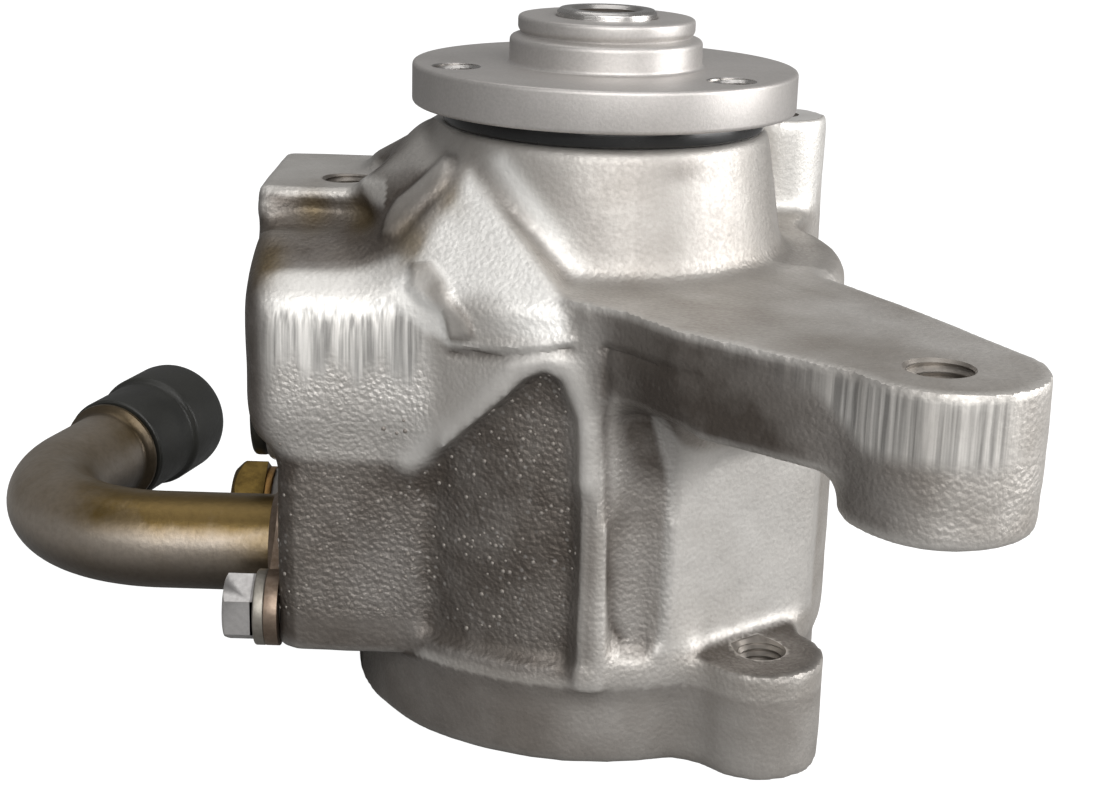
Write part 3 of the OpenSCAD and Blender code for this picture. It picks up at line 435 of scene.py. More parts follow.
# Painted shade on the arm's wall: faces turned left, away from the light, are darker, most of all at the root.
arm_wall = between(along, 35, 110, 8) * wall * np.clip((z - 46) / 10, 0, 1) * (z < 75.4) * (y < 0)
to_tip = np.clip((along - 60) / 14, 0, 1)
dark_root = np.clip(2 - 4 * facing[:, 0], 0, 1)
dark_tip = np.clip(-1.2 * facing[:, 0] - 0.05, 0, 0.75)
arm_wall *= (1 - to_tip) * dark_root + to_tip * dark_tip
arm_wall *= 1 - 0.85 * between(z, stroke_low, 77.5, 2.5) * np.clip((along - 70) / 8, 0, 1)
arm_top = between(z, 74.4, 76.4, 0.5) * np.clip(2 * upward - 1, 0, 1)
nose = between(z, 78, 96, 2) * between(reach, -1, 31.5, 3)
facet = within([(-22, 67.5), (-31, 74.5), (-20.5, 90), (-4.6, 73.5), (-5, 70)], 2.0) * ahead
facet *= np.clip(4 * facing[:, 0] + 2, 0, 1)
flake_shape = [(-28.8, 77.4), (-25.6, 77.9), (-23.2, 75.6), (-22.3, 73.5), (-19.4, 70.6), (-18.8, 68.2)]
flake_shape += [(-22.3, 67.4), (-23.5, 71.2), (-27, 72.6), (-28.8, 74)]
flake = within(flake_shape, 0.8) * ahead
bare_shape = [(-31, 74.6), (-25.3, 73), (-23.6, 72), (-23.4, 70.4), (-22.4, 66.6), (-26.4, 68), (-30, 71)]
bare = within(bare_shape, 1.2) * ahead
ledge = np.exp(-((beside([(-22.5, 66.4), (-14, 67.4), (-4.5, 69.3)]) / 0.7) ** 2)) * ahead
under_ledge = np.exp(-((beside([(-22.5, 65.4), (-14, 66.4), (-4.5, 68.3)]) / 0.8) ** 2)) * ahead
crease = np.exp(-((beside([(0.6, 69.2), (1.0, 60), (2.4, 40), (3.4, 24), (5, 21)]) / 0.6) ** 2)) * ahead
under_arm = within([(2.5, 68), (3.5, 54), (7, 48), (12.5, 46), (15, 55), (26, 60), (20, 68)], 5) * ahead
channel_top = np.exp(-((beside([(0.6, 69.2), (13, 69.6)]) / 0.6) ** 2)) * ahead * wall
base = (z < 13.5) & (upward < 0.6)
base_left = base * np.clip((8 - x) / 26, 0, 1)
scoop = np.exp(-(((x + 42.5) / 7.5) ** 4 + ((z - 82) / 1.9) ** 2)) * between(y, -22, -6, 2) * (x < -33)
strip_shape = [(-30, 86.5), (-24.6, 91.5), (-23.1, 91.5), (-24.1, 88.4), (-27.4, 84.9), (-31.7, 80.5)]
strip_shape += [(-34, 79.7), (-33.9, 81.9), (-31.8, 85)]
strip = within(strip_shape, 1.0) * (y < -10)
strip_edge = np.exp(-((beside(strip_shape + strip_shape[:1]) / 0.7) ** 2)) * (y < -10) * (1 - strip)
# A painted highlight along the valley by the nose, and painted shade beside it and on the nose's left.
valley_shine = np.exp(-((beside([(-15.6, 92.1), (-9.4, 84.9), (-3.6, 77.8)]) / 1.6) ** 2)) * ahead
valley_shine *= 0.35 + 0.65 * np.clip((z - 78) / 8, 0, 1)
valley_grey = np.exp(-((beside([(-20.2, 92.3), (-12.9, 83.6), (-6, 76.7)]) / 1.1) ** 2)) * ahead
nose_grey = np.exp(-((beside([(-9.5, 92.5), (-4.5, 87), (0.5, 80)]) / 2.6) ** 2)) * ahead
tower = np.exp(-(((x + 29.4) / 4.2) ** 2 + (y / 9) ** 2)) * (z > 82) * np.clip(3 * upward, 0, 1)
ear_top = between(z, 83.6, 87, 1) * (x < -34) * np.clip(3 * upward - 1.2, 0, 1)
lug_top = between(np.hypot(x - LUG_HOLE.x, y - LUG_HOLE.y), -1, 12.5, 1) * between(z, 16.6, 18.8, 0.4)
lug_top *= np.clip(4 * upward - 2.4, 0, 1)
rib_low = within([(-2.6, 18), (-2.6, 47), (-0.4, 45.5), (0.2, 40), (0.4, 18)], 0.8) * ahead
tower_side = between(x, -39, -19, 4) * between(z, 79, 97, 2) * (1 - strip)
tower_side *= np.clip(-3 * facing[:, 0] - 0.2, 0, 1)
ear_front = between(x, -53, -33, 2) * between(z, 76.5, 84.2, 1.5) * (y > -24)
ear_front *= np.clip(-2 * facing[:, 1] - 0.3, 0, 1)
lug_root = between(z, 17.5, 25, 2) * (x > 8) * (y < -16) * np.clip(2 * upward, 0, 1) * (1 - lug_top)
lug_zone = between(np.hypot(x - LUG_HOLE.x, y - LUG_HOLE.y), -1, 15, 2) * (z < 20)
foot_ledge = between(z, 12, 19.5, 1.5) * (y < -18) * (x < 2)
top_lip = between(y, -33, -26, 2) * between(z, 70, 79, 2) * between(x, -52, -30, 3)
# Painted shade on the block's left side and under its pillow.
left_dark = np.clip((-49 - x) / 4, 0, 1) * (y < -20) * (z > 44)
block_foot = np.exp(-(((x + 29.5) / 4) ** 2 + ((z - 45.5) / 5) ** 2)) * ahead
far_shoulder = between(z, 70, 78, 1) * (x > 14) * (y > -14) * np.clip(2 * upward, 0, 1)
# Painted shade with some dirt on the shoulder's top faces, which turn up and left, away from the light.
slope = between(z, 75, 96, 2) * (x < -16) * np.clip(-6 * facing[:, 0] - 2.2, 0, 1) * np.clip(3 * upward, 0, 1)
block_top = between(z, 74.6, 86, 1) * between(x, -57, -31, 3) * np.clip((y + 27) / 2, 0, 1)
block_top *= np.clip(3 * upward - 0.6, 0, 1)
shoulder_top = np.clip(slope + block_top, 0, 1) * (1 - nose) * (1 - 0.9 * ear_top) * (1 - 0.45 * strip)
ochre = np.zeros(count)
oil_spots = ((-22.5, 86, 2.4), (-28.5, 80, 2.8), (-51, 75.5, 2.6), (-46, 82, 2.4), (-38.5, 82, 2.2))
for spot_x, spot_z, size in oil_spots:
    ochre += 0.5 * np.exp(-(((x - spot_x) ** 2 + (z - spot_z) ** 2) / size ** 2)) * (y < -2)
# Painted light on the lug behind the hub.
far_lug = between(z, 76, 92, 2) * (x > 20) * (y > 20)
nose_mark = np.exp(-(((x - 12) / 3.2) ** 2 + ((z - 92) / 1.8) ** 2)) * (y < -15)

dressed = np.clip(block_face * (1 - bare) * (1 - left_dark) + arm_edge, 0, 1)
# Soot and painted shade: dirt on the arch, inlet and base, and painted shade under the ledge, arm and ear's lip,
# in the scoop, creases and channel, beside the strip and valley, on the nose and on faces turned from the light.
soot_and_shade = np.zeros(count)
for mask, share in (
    (arch, 0.84), (inlet, 0.72), (channel, 0.36), (arm_wall, 0.84), (under_ledge, 0.8), (scoop, 0.9),
    (crease, 0.6), (base_left, 0.32), (base, 0.3), (shoulder_top, 0.7), (channel_top, 0.6), (nose_mark, 0.35),
    (under_arm, 0.4), (strip_edge, 0.5), (valley_grey, 0.15), (nose_grey, 0.2), (lug_top, 0.85),
    (rib_low, 0.4), (far_shoulder, 0.25), (nose * (1 - valley_shine), 0.16), (tower_side, 0.15), (ear_front, 0.4),
    (lug_root, 0.3), (panel, 0.22), (nose * (x > 5), 0.1), (block_foot, 0.45), (left_dark, 0.4),
):
    soot_and_shade += share * mask
# Painted shade on faces turned left, away from the light.
soot_and_shade += 0.8 * np.clip(-facing[:, 0] * 2 - 0.4, 0, 1) * (x < -38)
# A painted shadow round the raised flake.
soot_and_shade += 0.5 * np.exp(-((beside(flake_shape + flake_shape[:1]) / 0.45) ** 2)) * ahead
soot_and_shade = np.clip(soot_and_shade * (1 - 0.9 * band), 0, 0.95)
# Painted shade in hollows, from the surface's bend.
hollow = np.clip(bend * 7 - 0.03, 0, 0.5) * (1 - band) * (1 - 0.7 * block)
# Wear and painted highlights: worn edges, filed faces and the bare chip, and painted light on the facet, band,
# ledge, top lip, valley, far lug, ear top and nose.
wear_and_highlight = np.clip(-bend * 5 - 0.12, 0, 0.5) * (1 - 0.6 * lug_zone)
for mask, share in (
    (facet, 0.95), (dressed * (1 - arm_wall), 0.4), (band, 0.3), (panel, 0.36), (bare, 0.95), (block, 0.2),
    (ledge, 0.3), (top_lip, 0.45), (valley_shine, 0.9), (far_lug, 0.6), (nose * (1 - nose_mark), 0.1),
    (ear_top, 0.3),
):
    wear_and_highlight += share * mask
wear_and_highlight = np.clip(wear_and_highlight * (1 - 0.85 * left_dark) - 0.5 * flake - 0.6 * np.clip(ochre, 0, 1), 0, 0.95)
ochre = np.clip(ochre, 0, 0.75)
grit = np.full(count, 0.3)
for mask, value in (
    (nose, 0.06), (base, 0.15), (arm_top, 0.2), (panel, 0.06), (inlet, 0.8),
    (block, 0.85 - 0.7 * np.clip((z - 60) / 6, 0, 1)), (block_face, 0.3), (left_dark, 0.3), (arch, 0.8),
    (channel, 0.45), (band, 0.05), (facet, 0.22), (valley_shine, 0.04), (strip, 0.1), (lug_top, 0.4),
    (tip_low, 0.5), (foot_ledge, 0.3), (far_lug, 0.1), (flake, 0.03), (bare, 0.1),
):
    grit += (value - grit) * mask

# The sand's own unevenness: slow waves from ramming and a pebbled grain on top.
waves = np.array([noise.fractal(Vector(p) / 13, 1.0, 2.0, 3) for p in spots])
pebbles = np.array([noise.noise(Vector(p) / 1.3) for p in spots])
calm = 1 - 0.85 * np.maximum(arm_top, 0.5 * nose)
lift = calm * (0.15 * waves + 0.07 * pebbles * np.maximum(grit - 0.2, 0))
lift += 0.25 * band - 0.4 * arch + 0.65 * flake + 0.45 * ledge - 0.6 * under_ledge - 2.2 * scoop
lift -= 0.5 * channel_top + 0.4 * crease + 0.35 * rib_low
lift += 0.8 * strip - 0.3 * strip_edge
spots[:, 2] += 2.2 * tower
spots += facing * lift[:, None]
mesh.vertices.foreach_set("co", (spots * MM).ravel())
for name, values in zip(SKIN_MARKS, (hollow, soot_and_shade, dressed, wear_and_highlight, grit, ochre)):
    mesh.attributes.new(name, "FLOAT", "POINT").data.foreach_set("value", values.astype(np.float32))
mesh.update()

# The far side is plain, so it keeps fewer faces.
far = housing.vertex_groups.new(name="far_side")
far.add(np.flatnonzero((y > 6) | (upward < -0.8)).tolist(), 1.0, "REPLACE")
thin = housing.modifiers.new("thin", "DECIMATE")
thin.ratio = 0.6
thin.vertex_group = "far_side"
settle(housing)
housing.vertex_groups.clear()


def geometry_tree(name, floats, whole):
    """A geometry node tree with number inputs and a material, and what its input node gives."""
    tree = bpy.data.node_groups.new(name, "GeometryNodeTree")
    sockets = [("Geometry", "Geometry"), ("Material", "Material")]
    sockets += [(each, "Float") for each in floats] + [(each, "Int") for each in whole]
    for title, kind in sockets:
        tree.interface.new_socket(title, in_out="INPUT", socket_type="NodeSocket" + kind)
    tree.interface.new_socket("Geometry", in_out="OUTPUT", socket_type="NodeSocketGeometry")
    return tree, add(tree, "NodeGroupInput").outputs


def geometry_end(tree, shape, material):
    """The end of a geometry node tree: plain geometry in one material."""
    real = add(tree, "GeometryNodeRealizeInstances", None, {"Geometry": shape}).outputs["Geometry"]
    coated = add(tree, "GeometryNodeSetMaterial", None, {"Geometry": real, "Material": material})
    add(tree, "NodeGroupOutput", None, {"Geometry": coated.outputs["Geometry"]})


# A screw thread follows a helix, so one node tree makes the cutter for every threaded hole.
thread_tree, given = geometry_tree("screw_thread", ("Radius", "Pitch", "Length"), ())
turns = calc(thread_tree, "DIVIDE", given["Length"], given["Pitch"])
ridge = calc(thread_tree, "MULTIPLY", given["Pitch"], 0.46)
helix = add(
    thread_tree, "GeometryNodeCurveSpiral", None,
    {"Resolution": 28, "Rotations": turns, "Start Radius": given["Radius"],
     "End Radius": given["Radius"], "Height": given["Length"]},
)
level = add(thread_tree, "GeometryNodeSetCurveNormal", {"mode": "Z_UP"}, {"Curve": helix.outputs["Curve"]})
tooth = add(thread_tree, "GeometryNodeCurvePrimitiveCircle", None, {"Resolution": 4, "Radius": ridge})
swept = add(
    thread_tree, "GeometryNodeCurveToMesh", None,
    {"Curve": level.outputs["Curve"], "Profile Curve": tooth.outputs["Curve"], "Fill Caps": True},
)
geometry_end(thread_tree, swept.outputs["Mesh"], given["Material"])


def grown(name, tree, inputs, start=None):
    """A plain mesh object from a geometry node tree with these inputs, working on some start data."""
    seed = bpy.data.objects.new(name, start or bpy.data.meshes.new(name))
    bpy.context.collection.objects.link(seed)
    grow = seed.modifiers.new("grow", "NODES")
    grow.node_group = tree
    for socket in tree.interface.items_tree:
        if socket.in_out == "INPUT" and socket.name in inputs:
            grow[socket.identifier] = inputs[socket.name]
    depsgraph = bpy.context.evaluated_depsgraph_get()
    mesh = bpy.data.meshes.new_from_object(seed.evaluated_get(depsgraph), depsgraph=depsgraph)
    bpy.data.objects.remove(seed)
    thing = bpy.data.objects.new(name, mesh)
    bpy.context.collection.objects.link(thing)
    return thing


def cut(thing, cutter, operation="DIFFERENCE", slot=1):
    """Cuts one closed mesh with another; the new faces take one of the materials."""
    cutter.data.polygons.foreach_set("material_index", [slot] * len(cutter.data.polygons))
    knife = thing.modifiers.new("cut", "BOOLEAN")
    knife.operation = operation
    knife.solver = "MANIFOLD"
    knife.object = cutter
    settle(thing)
    bpy.data.objects.remove(cutter)


def tapped(thing, centre, low, high, face, radius, pitch, *materials):
    """A drilled, countersunk and threaded hole about an upright axis; the last material is the thread's."""
    at = Vector((centre.x, centre.y, 0))
    last = len(materials) - 1
    hole = drum(at + Vector((0, 0, low)), at + Vector((0, 0, high)), radius)
    cut(thing, solid("drill", hole, *materials), slot=last)
    short = 0.3  # the thread stops this far inside the drill's ends
    length = high - low - 2 * short
    thread = grown(
        "tap", thread_tree,
        {"Radius": radius * MM, "Pitch": pitch * MM, "Length": length * MM, "Material": materials[1]},
    )
    thread.data.transform(Matrix.Translation((at + Vector((0, 0, low + short))) * MM))
    thread.data.materials.clear()
    for each in materials:
        thread.data.materials.append(each)
    cut(thing, thread, slot=last)
    sink = at + Vector((0, 0, face - 0.5))
    rim = drum(sink, sink + Vector((0, 0, 1.1)), radius + 0.2, radius + 1.3)
    cut(thing, solid("countersink", rim, *materials), slot=last)


for a, b, radius in BORES:
    cut(housing, solid("bore", drum(a, b, radius), cast_skin, milled))
# Faces milled flat: the rear, the nose, the lug behind the hub, the flange's seat and the side plug's seat.
for low, high in (
    ((-60, -60, -5), (60, 60, 0.12)),
    ((-30, -30, 95.2), (30, 30, 99)),
    ((22, 27, 91.9), (42, 47, 96)),
    ((-56, -34, 4), (-49.9, 6.5, 34.5)),
    ((-60, 6.5, 7), (-56.7, 29, 29.5)),
):
    cut(housing, solid("face", slab(low, high), cast_skin, milled))
for hole in THREADS:
    tapped(housing, *hole, cast_skin, milled, tapped_skin)


def smooth(thing, degrees):
    """Smooth shading with creases over an angle."""
    thing.data.polygons.foreach_set("use_smooth", [True] * len(thing.data.polygons))
    thing.data.set_sharp_from_angle(angle=math.radians(degrees))


smooth(housing, 42)
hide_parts("pump_housing")
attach(housing, "pump")


# Casting grains.
# Loose sand fuses into small proud grains on the roughest panels of the mould; they are part of the casting.
# They stand only where the skin is coarse: the arch, the inlet block and the lower front of the valve block.
# Their rubbed tops glint brighter than the skin around them.
bright_grain, tree, shader, place = new_material("rubbed_cast_aluminium_grain")
polish = noised(tree, place, 1.429, 2.0)
shade = mixed(tree, polish, "#6b655f", "#a09a93")
feed(tree, shader, {"Base Color": shade, "Metallic": 0.5, "Roughness": 0.6})
grain_tree, given = geometry_tree("fused_grains", ("Spacing", "Per Area", "Grain Radius"), ("Seed",))
coarse = add(grain_tree, "GeometryNodeInputNamedAttribute", {"data_type": "FLOAT"}, {"Name": "grit"})
chance = ranged(grain_tree, coarse.outputs["Attribute"], 0.55, 0.85, 0.0, 1.0)
drift = add(grain_tree, "ShaderNodeTexNoise", None, {"Scale": 95.0, "Detail": 2.0})  # clusters of about 10 mm
cluster = ranged(grain_tree, drift.outputs["Fac"], 0.42, 0.62, 0.08, 1.0)
dark = add(grain_tree, "GeometryNodeInputNamedAttribute", {"data_type": "FLOAT"}, {"Name": "soot_and_shade"})
shaded = calc(grain_tree, "MULTIPLY", dark.outputs["Attribute"], cluster)
here = calc(grain_tree, "MULTIPLY", chance, shaded)
strewn = add(
    grain_tree, "GeometryNodeDistributePointsOnFaces", {"distribute_method": "POISSON"},
    {"Mesh": given["Geometry"], "Distance Min": given["Spacing"], "Density Max": given["Per Area"],
     "Density Factor": here, "Seed": given["Seed"]},
)
lump = add(
    grain_tree, "GeometryNodeMeshIcoSphere", None, {"Radius": given["Grain Radius"], "Subdivisions": 1},
)
lens = add(
    grain_tree, "GeometryNodeTransform", None, {"Geometry": lump.outputs["Mesh"], "Scale": (1.0, 1.0, 0.5)},
)
sizes = add(
    grain_tree, "FunctionNodeRandomValue", {"data_type": "FLOAT"}, {2: 0.5, 3: 1.0, "Seed": given["Seed"]},
)
dotted = add(
    grain_tree, "GeometryNodeInstanceOnPoints", None,
    {"Points": strewn.outputs["Points"], "Instance": lens.outputs["Geometry"],
     "Rotation": strewn.outputs["Rotation"], "Scale": sizes.outputs[1]},
)
geometry_end(grain_tree, dotted.outputs["Instances"], given["Material"])
# At most 0.38 grains a square millimetre.
grains = grown(
    "casting_grains", grain_tree,
    {"Spacing": 0.8 * MM, "Per Area": 380000.0, "Grain Radius": 0.46 * MM, "Seed": 7,
     "Material": bright_grain},
    housing.data.copy(),
)
smooth(grains, 80)
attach(grains, "pump")


# Vane cartridge.
# Hardened steel rings, plates, rotor and vanes, ground flat and stacked in the bore on two dowel pins.
# A coned spring washer behind the rear plate keeps the stack tight; two bushes carry the shaft.
def worked_metal(name, dark, light, rough, streak_mm, across):
    """A metal whose tone and polish follow fine marks of this length, drawn out along or across an axis."""
    made, tree, shader, place = new_material(name)
    drawn = add(tree, "ShaderNodeMapping", None, {"Vector": place, "Scale": across})
    marks = noised(tree, drawn.outputs["Vector"], streak_mm, 3.0, 0.6)
    cast = noised(tree, place, 7.143, 4.0)
    blend = calc(tree, "MULTIPLY_ADD", marks, 0.5, cast)
    share = ranged(tree, blend, 0.45, 1.05, 0.0, 1.0)
    shade = mixed(tree, share, dark, light)
    polish = ranged(tree, share, 0.0, 1.0, rough + 0.1, rough - 0.05)
    scratches = bumped(tree, marks, 0.16, 0.2)
    feed(tree, shader, {"Base Color": shade, "Roughness": polish, "Normal": scratches, "Metallic": 1.0})
    return made


def coat(names, material):
    """Gives solids of the shared frame a material and leaves their shape alone."""
    for name in names:
        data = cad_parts[name].data
        data.materials.clear()
        data.materials.append(material)


# Ground steel: bright, with straight wheel marks, drawn coarser than they are. Spring wire: darker, drawn
# along its length. Bronze: warm and dull.
ground = worked_metal("ground_hardened_steel", "#8e8d8c", "#c6c5c4", 0.28, 1.6, (1.0, 8.0, 1.0))
wire = worked_metal("drawn_spring_wire", "#4c4a49", "#7d7a77", 0.4, 0.9, (1.0, 1.0, 4.0))
bronze = worked_metal("sintered_bronze", "#7d5c35", "#b08a55", 0.42, 0.8, (1.0, 1.0, 1.0))
coat(("front_plate", "cam_ring", "rotor", "vanes", "rear_plate", "dowel_pins"), ground)
coat(("plate_spring", "rotor_circlip"), wire)
coat(("front_bush", "rear_bush"), bronze)


# Rear cover.
# A turned steel disc closes the bore from behind, sealed by a ring and held by a round wire in a groove.
# It is blackened against rust, so it shows dark brown-black with a faint sheen.
def refined(node, name, width, *materials):
    """A merged copy of a solid with its edges eased, as a tool or a tumbling drum leaves them."""
    made = bmesh.new()
    made.from_mesh(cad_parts[node].data)
    bmesh.ops.remove_doubles(made, verts=made.verts, dist=2e-6)
    bmesh.ops.dissolve_limit(
        made, angle_limit=math.radians(1), verts=made.verts, edges=made.edges, use_dissolve_boundaries=False,
    )
    thing = solid(name, made, *materials)
    if width:
        ease = thing.modifiers.new("ease", "BEVEL")
        ease.width = width * MM
        ease.segments = 3
        ease.limit_method = "ANGLE"
        ease.angle_limit = math.radians(35)
        settle(thing)
    smooth(thing, 40)
    return thing


def fitted(thing, node, body):
    """Puts a finished piece in the place of a solid of the shared frame."""
    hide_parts(node)
    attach(thing, body)


blackened = worked_metal("blackened_turned_steel", "#26221f", "#4a443e", 0.45, 0.9, (1.0, 1.0, 1.0))
fitted(refined("rear_cover", "rear_cover_disc", 0.3, blackened), "rear_cover", "pump")
fitted(refined("cover_wire_ring", "rear_cover_wire", 0, wire), "cover_wire_ring", "pump")


# Shaft bearing and seals.
# A ball bearing in the nose with a pressed brass cage, held by circlips, and a lip seal with a garter spring.
# Rings and balls are lapped bright; the rubber of the seals is matt black with a dusty bloom.
lapped = worked_metal("lapped_bearing_steel", "#a3a2a1", "#d8d7d6", 0.16, 0.7, (1.0, 1.0, 5.0))
pressed = worked_metal("pressed_brass_sheet", "#8c6a2c", "#c9a558", 0.3, 1.2, (1.0, 1.0, 3.0))
rubber, tree, shader, place = new_material("moulded_black_rubber")
bloom = noised(tree, place, 8.333, 5.0, 0.65)
pores = noised(tree, place, 0.625, 2.0)
shade = mixed(tree, bloom, "#0f0f0d", "#2b2b26")
dust = ranged(tree, bloom, 0.35, 0.65, 0.36, 0.56)
skin_bump = bumped(tree, pores, 0.2, 0.2)
feed(tree, shader, {"Base Color": shade, "Roughness": dust, "Normal": skin_bump})
coat(("bearing_outer_ring", "bearing_inner_ring", "bearing_balls"), lapped)
coat(("bearing_cage",), pressed)
coat(("seal_spring", "bearing_circlip", "shaft_circlip"), wire)
coat(("shaft_seal", "cover_o_ring"), rubber)


# Drive shaft.
# A turned and ground steel shaft on the bearing and bushes; its splines drive the rotor.
# Its end stands a little proud of the hub, with a hexagon socket in a bright rim; the socket is painted dark, old
# grease and painted shade.
turned_steel = worked_metal("turned_shaft_steel", "#9a9794", "#cbc8c5", 0.26, 1.0, (1.0, 1.0, 6.0))
# Painted shade with old grease inside the socket.
grease_and_shade, tree, shader, place = new_material("greasy_shaded_broached_steel")
smear = noised(tree, place, 2.381, 4.0)
shade = mixed(tree, smear, "#1a1613", "#4b433b")
feed(tree, shader, {"Base Color": shade, "Metallic": 0.5, "Roughness": 0.42})
shaft = refined("drive_shaft", "drive_shaft_turned", 0.25, turned_steel, grease_and_shade)
for face in shaft.data.polygons:
    spot = face.center / MM
    face.material_index = int(spot.z > 104 and spot.z < 113.0 and spot.xy.length < 5.2)
fitted(shaft, "drive_shaft", "shaft")


# Dust ring.
# A flat moulded ring lies on the nose under the hub and keeps grit off the seal.
# Oil has wetted it, so it is the glossiest black piece of the pump.
def eased(outline, radius):
    """Rounds the corners of a turned outline of (radius, height) pairs in millimetres."""
    soft = []
    for i, corner in enumerate(outline):
        here = Vector(corner)
        before, after = Vector(outline[i - 1]) - here, Vector(outline[(i + 1) % len(outline)]) - here
        cut_back = min(radius, 0.45 * before.length, 0.45 * after.length)
        if here.x < 1e-6 or before.length < 1e-6 or after.length < 1e-6 or before.angle(after) > 2.9:
            soft.append(here)
            continue
        start, end = here + before.normalized() * cut_back, here + after.normalized() * cut_back
        soft += [start.lerp(here, t).lerp(here.lerp(end, t), t) for t in (0, 0.25, 0.5, 0.75, 1)]
    return soft


def turned_piece(name, outline, *materials, sides=144, place=Matrix()):
    """A piece turned about an upright axis from a closed outline, then put in place."""
    made = bmesh.new()
    rings = []
    for spot in outline:
        if spot[0] < 1e-6:
            rings.append([made.verts.new((0, 0, spot[1] * MM))] * sides)
            continue
        angles = [2 * math.pi * k / sides for k in range(sides)]
        ring = [(spot[0] * math.cos(t) * MM, spot[0] * math.sin(t) * MM, spot[1] * MM) for t in angles]
        rings.append([made.verts.new(corner) for corner in ring])
    for low, high in zip(rings, rings[1:] + rings[:1]):
        for k in range(sides):
            corners = list(dict.fromkeys((low[k], low[k - 1], high[k - 1], high[k])))
            if len(corners) > 2:
                made.faces.new(corners)
    bmesh.ops.recalc_face_normals(made, faces=made.faces)
    made.transform(place)
    thing = solid(name, made, *materials)
    smooth(thing, 30)
    return thing


wet_rubber, tree, shader, place = new_material("oily_black_rubber")
film = noised(tree, place, 11.11, 4.0)
wetness = ranged(tree, film, 0.35, 0.65, 0.12, 0.34)
shade = mixed(tree, film, "#080808", "#1a1918")
feed(tree, shader, {"Base Color": shade, "Roughness": wetness})
dust_outline = eased([(15, 95.3), (26, 95.3), (26, 97.8), (15, 97.8)], 0.5)
fitted(turned_piece("dust_ring_moulded", dust_outline, wet_rubber), "dust_ring", "pump")


# Pulley hub.
# A steel flange pressed on the shaft, with a pilot for the pulley and three threaded holes.
# Turned and then blasted: an even, fine satin grey. Its dimples of 0.1 mm are drawn coarser, at 0.45 mm.
blasted, tree, shader, place = new_material("blasted_turned_steel")
shot = noised(tree, place, 0.4545, 3.0, 0.6)
stain = noised(tree, place, 9.091, 5.0, 0.6)
shade = mixed(tree, stain, "#a39f9b", "#b7b3b0")
speck = ranged(tree, shot, 0.35, 0.65, 0.93, 1.05)
fine = mixed(tree, 1.0, shade, speck, "MULTIPLY")
dimples = bumped(tree, shot, 0.12, 0.2)
feed(tree, shader, {"Base Color": fine, "Normal": dimples, "Metallic": 0.7, "Roughness": 0.44})
hub_outline = [(8, 96), (12, 96), (12, 98.2), (31, 98.2), (31, 104.7), (15.5, 104.7), (15.5, 108.9)]
hub_outline += [(13.6, 109.5), (14.2, 110.2), (14.2, 112.3), (8, 112.3)]
hub = turned_piece("pulley_hub", eased(hub_outline, 0.7), blasted, turned_steel)
HOLE_CIRCLE_RADIUS = 25
for degrees in (200, 320, 80):
    centre = polar(HOLE_CIRCLE_RADIUS, degrees, 0)
    tapped(hub, centre, 97, 105.7, 104.9, M8_CORE_RADIUS, M8_PITCH, blasted, turned_steel)
smooth(hub, 30)
fitted(hub, "hub_flange", "shaft")


# Flow valve.
# A ground spool slides in the cross bore against a spring; a relief ball sits in a bronze seat in its end.
# A blackened hexagon-socket plug with a sealing ring closes the bore.
coat(("valve_spool",), ground)


def sprung(node, name, body):
    """A coil spring put in the place of its solid, with a mesh of its own."""
    coil = refined(node, name, 0, wire)
    fitted(coil, node, body)
    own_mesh(coil)


sprung("valve_spring", "valve_coil", "pump")
sprung("relief_spring", "relief_coil", "spool")
coat(("relief_ball",), lapped)
coat(("relief_seat",), bronze)
coat(("valve_plug_o_ring",), rubber)
fitted(refined("valve_plug", "valve_bore_plug", 0.4, blackened), "valve_plug", "pump")


# Outlet plug.
# A soft rubber bung, moulded with a rim and pushed into the pressure outlet to keep dirt out.
# Matt black with a dusty bloom, like the other rubber.
fitted(refined("outlet_plug", "outlet_bung", 0.7, rubber), "outlet_plug", "pump")


# Suction pipe.
# A bent steel tube let into the inlet block, with a rolled bead near its end to hold a hose.
# Yellow zinc, worn: olive gold near the plate and as a painted highlight along the top, a violet-grey film at the
# bend, painted shade underneath and a darker band from the bead on.
TAIL_START = Vector((-95.95, 27.02, PIPE_AXIS[1]))
TAIL_WAY = Vector((0.2924, 0.9563, 0)).normalized()
BEND_CENTRE = (-73, 20)
BEND_RADIUS = 24
BEND_DEGREES = 107
BEAD_FROM_BEND = 13.8
gold, tree, shader, place = new_material("yellow_zinc_bent_tube")
normal = add(tree, "ShaderNodeTexCoord").outputs["Normal"]
normal_z = add(tree, "ShaderNodeSeparateXYZ", None, {0: normal}).outputs["Z"]
place_xyz = add(tree, "ShaderNodeSeparateXYZ", None, {0: place})
blotch = noised(tree, place, 11.76, 6.0, 0.65)
fleck = noised(tree, place, 1.111, 3.0, 0.6)
# Painted highlight: olive gold on faces turned up along the straight run.
on_top = ranged(tree, normal_z, 0.2, 0.72, 0.0, 1.0, "SMOOTHSTEP")
straight = ranged(tree, place_xyz.outputs["X"], -0.098, -0.08, 0.25, 1.0, "SMOOTHSTEP")
near_plate = ranged(tree, place_xyz.outputs["X"], -0.066, -0.053, 0.0, 0.7, "SMOOTHSTEP")
mottle = ranged(tree, blotch, 0.38, 0.62, -0.12, 0.16)
gold_tone_and_highlight = calc(tree, "MULTIPLY", on_top, straight)
gold_tone_and_highlight = calc(tree, "MAXIMUM", gold_tone_and_highlight, near_plate)
gold_tone_and_highlight = calc(tree, "ADD", gold_tone_and_highlight, mottle, clamp=True)
upper = mixed(tree, gold_tone_and_highlight, "#a0968a", "#6c5934")
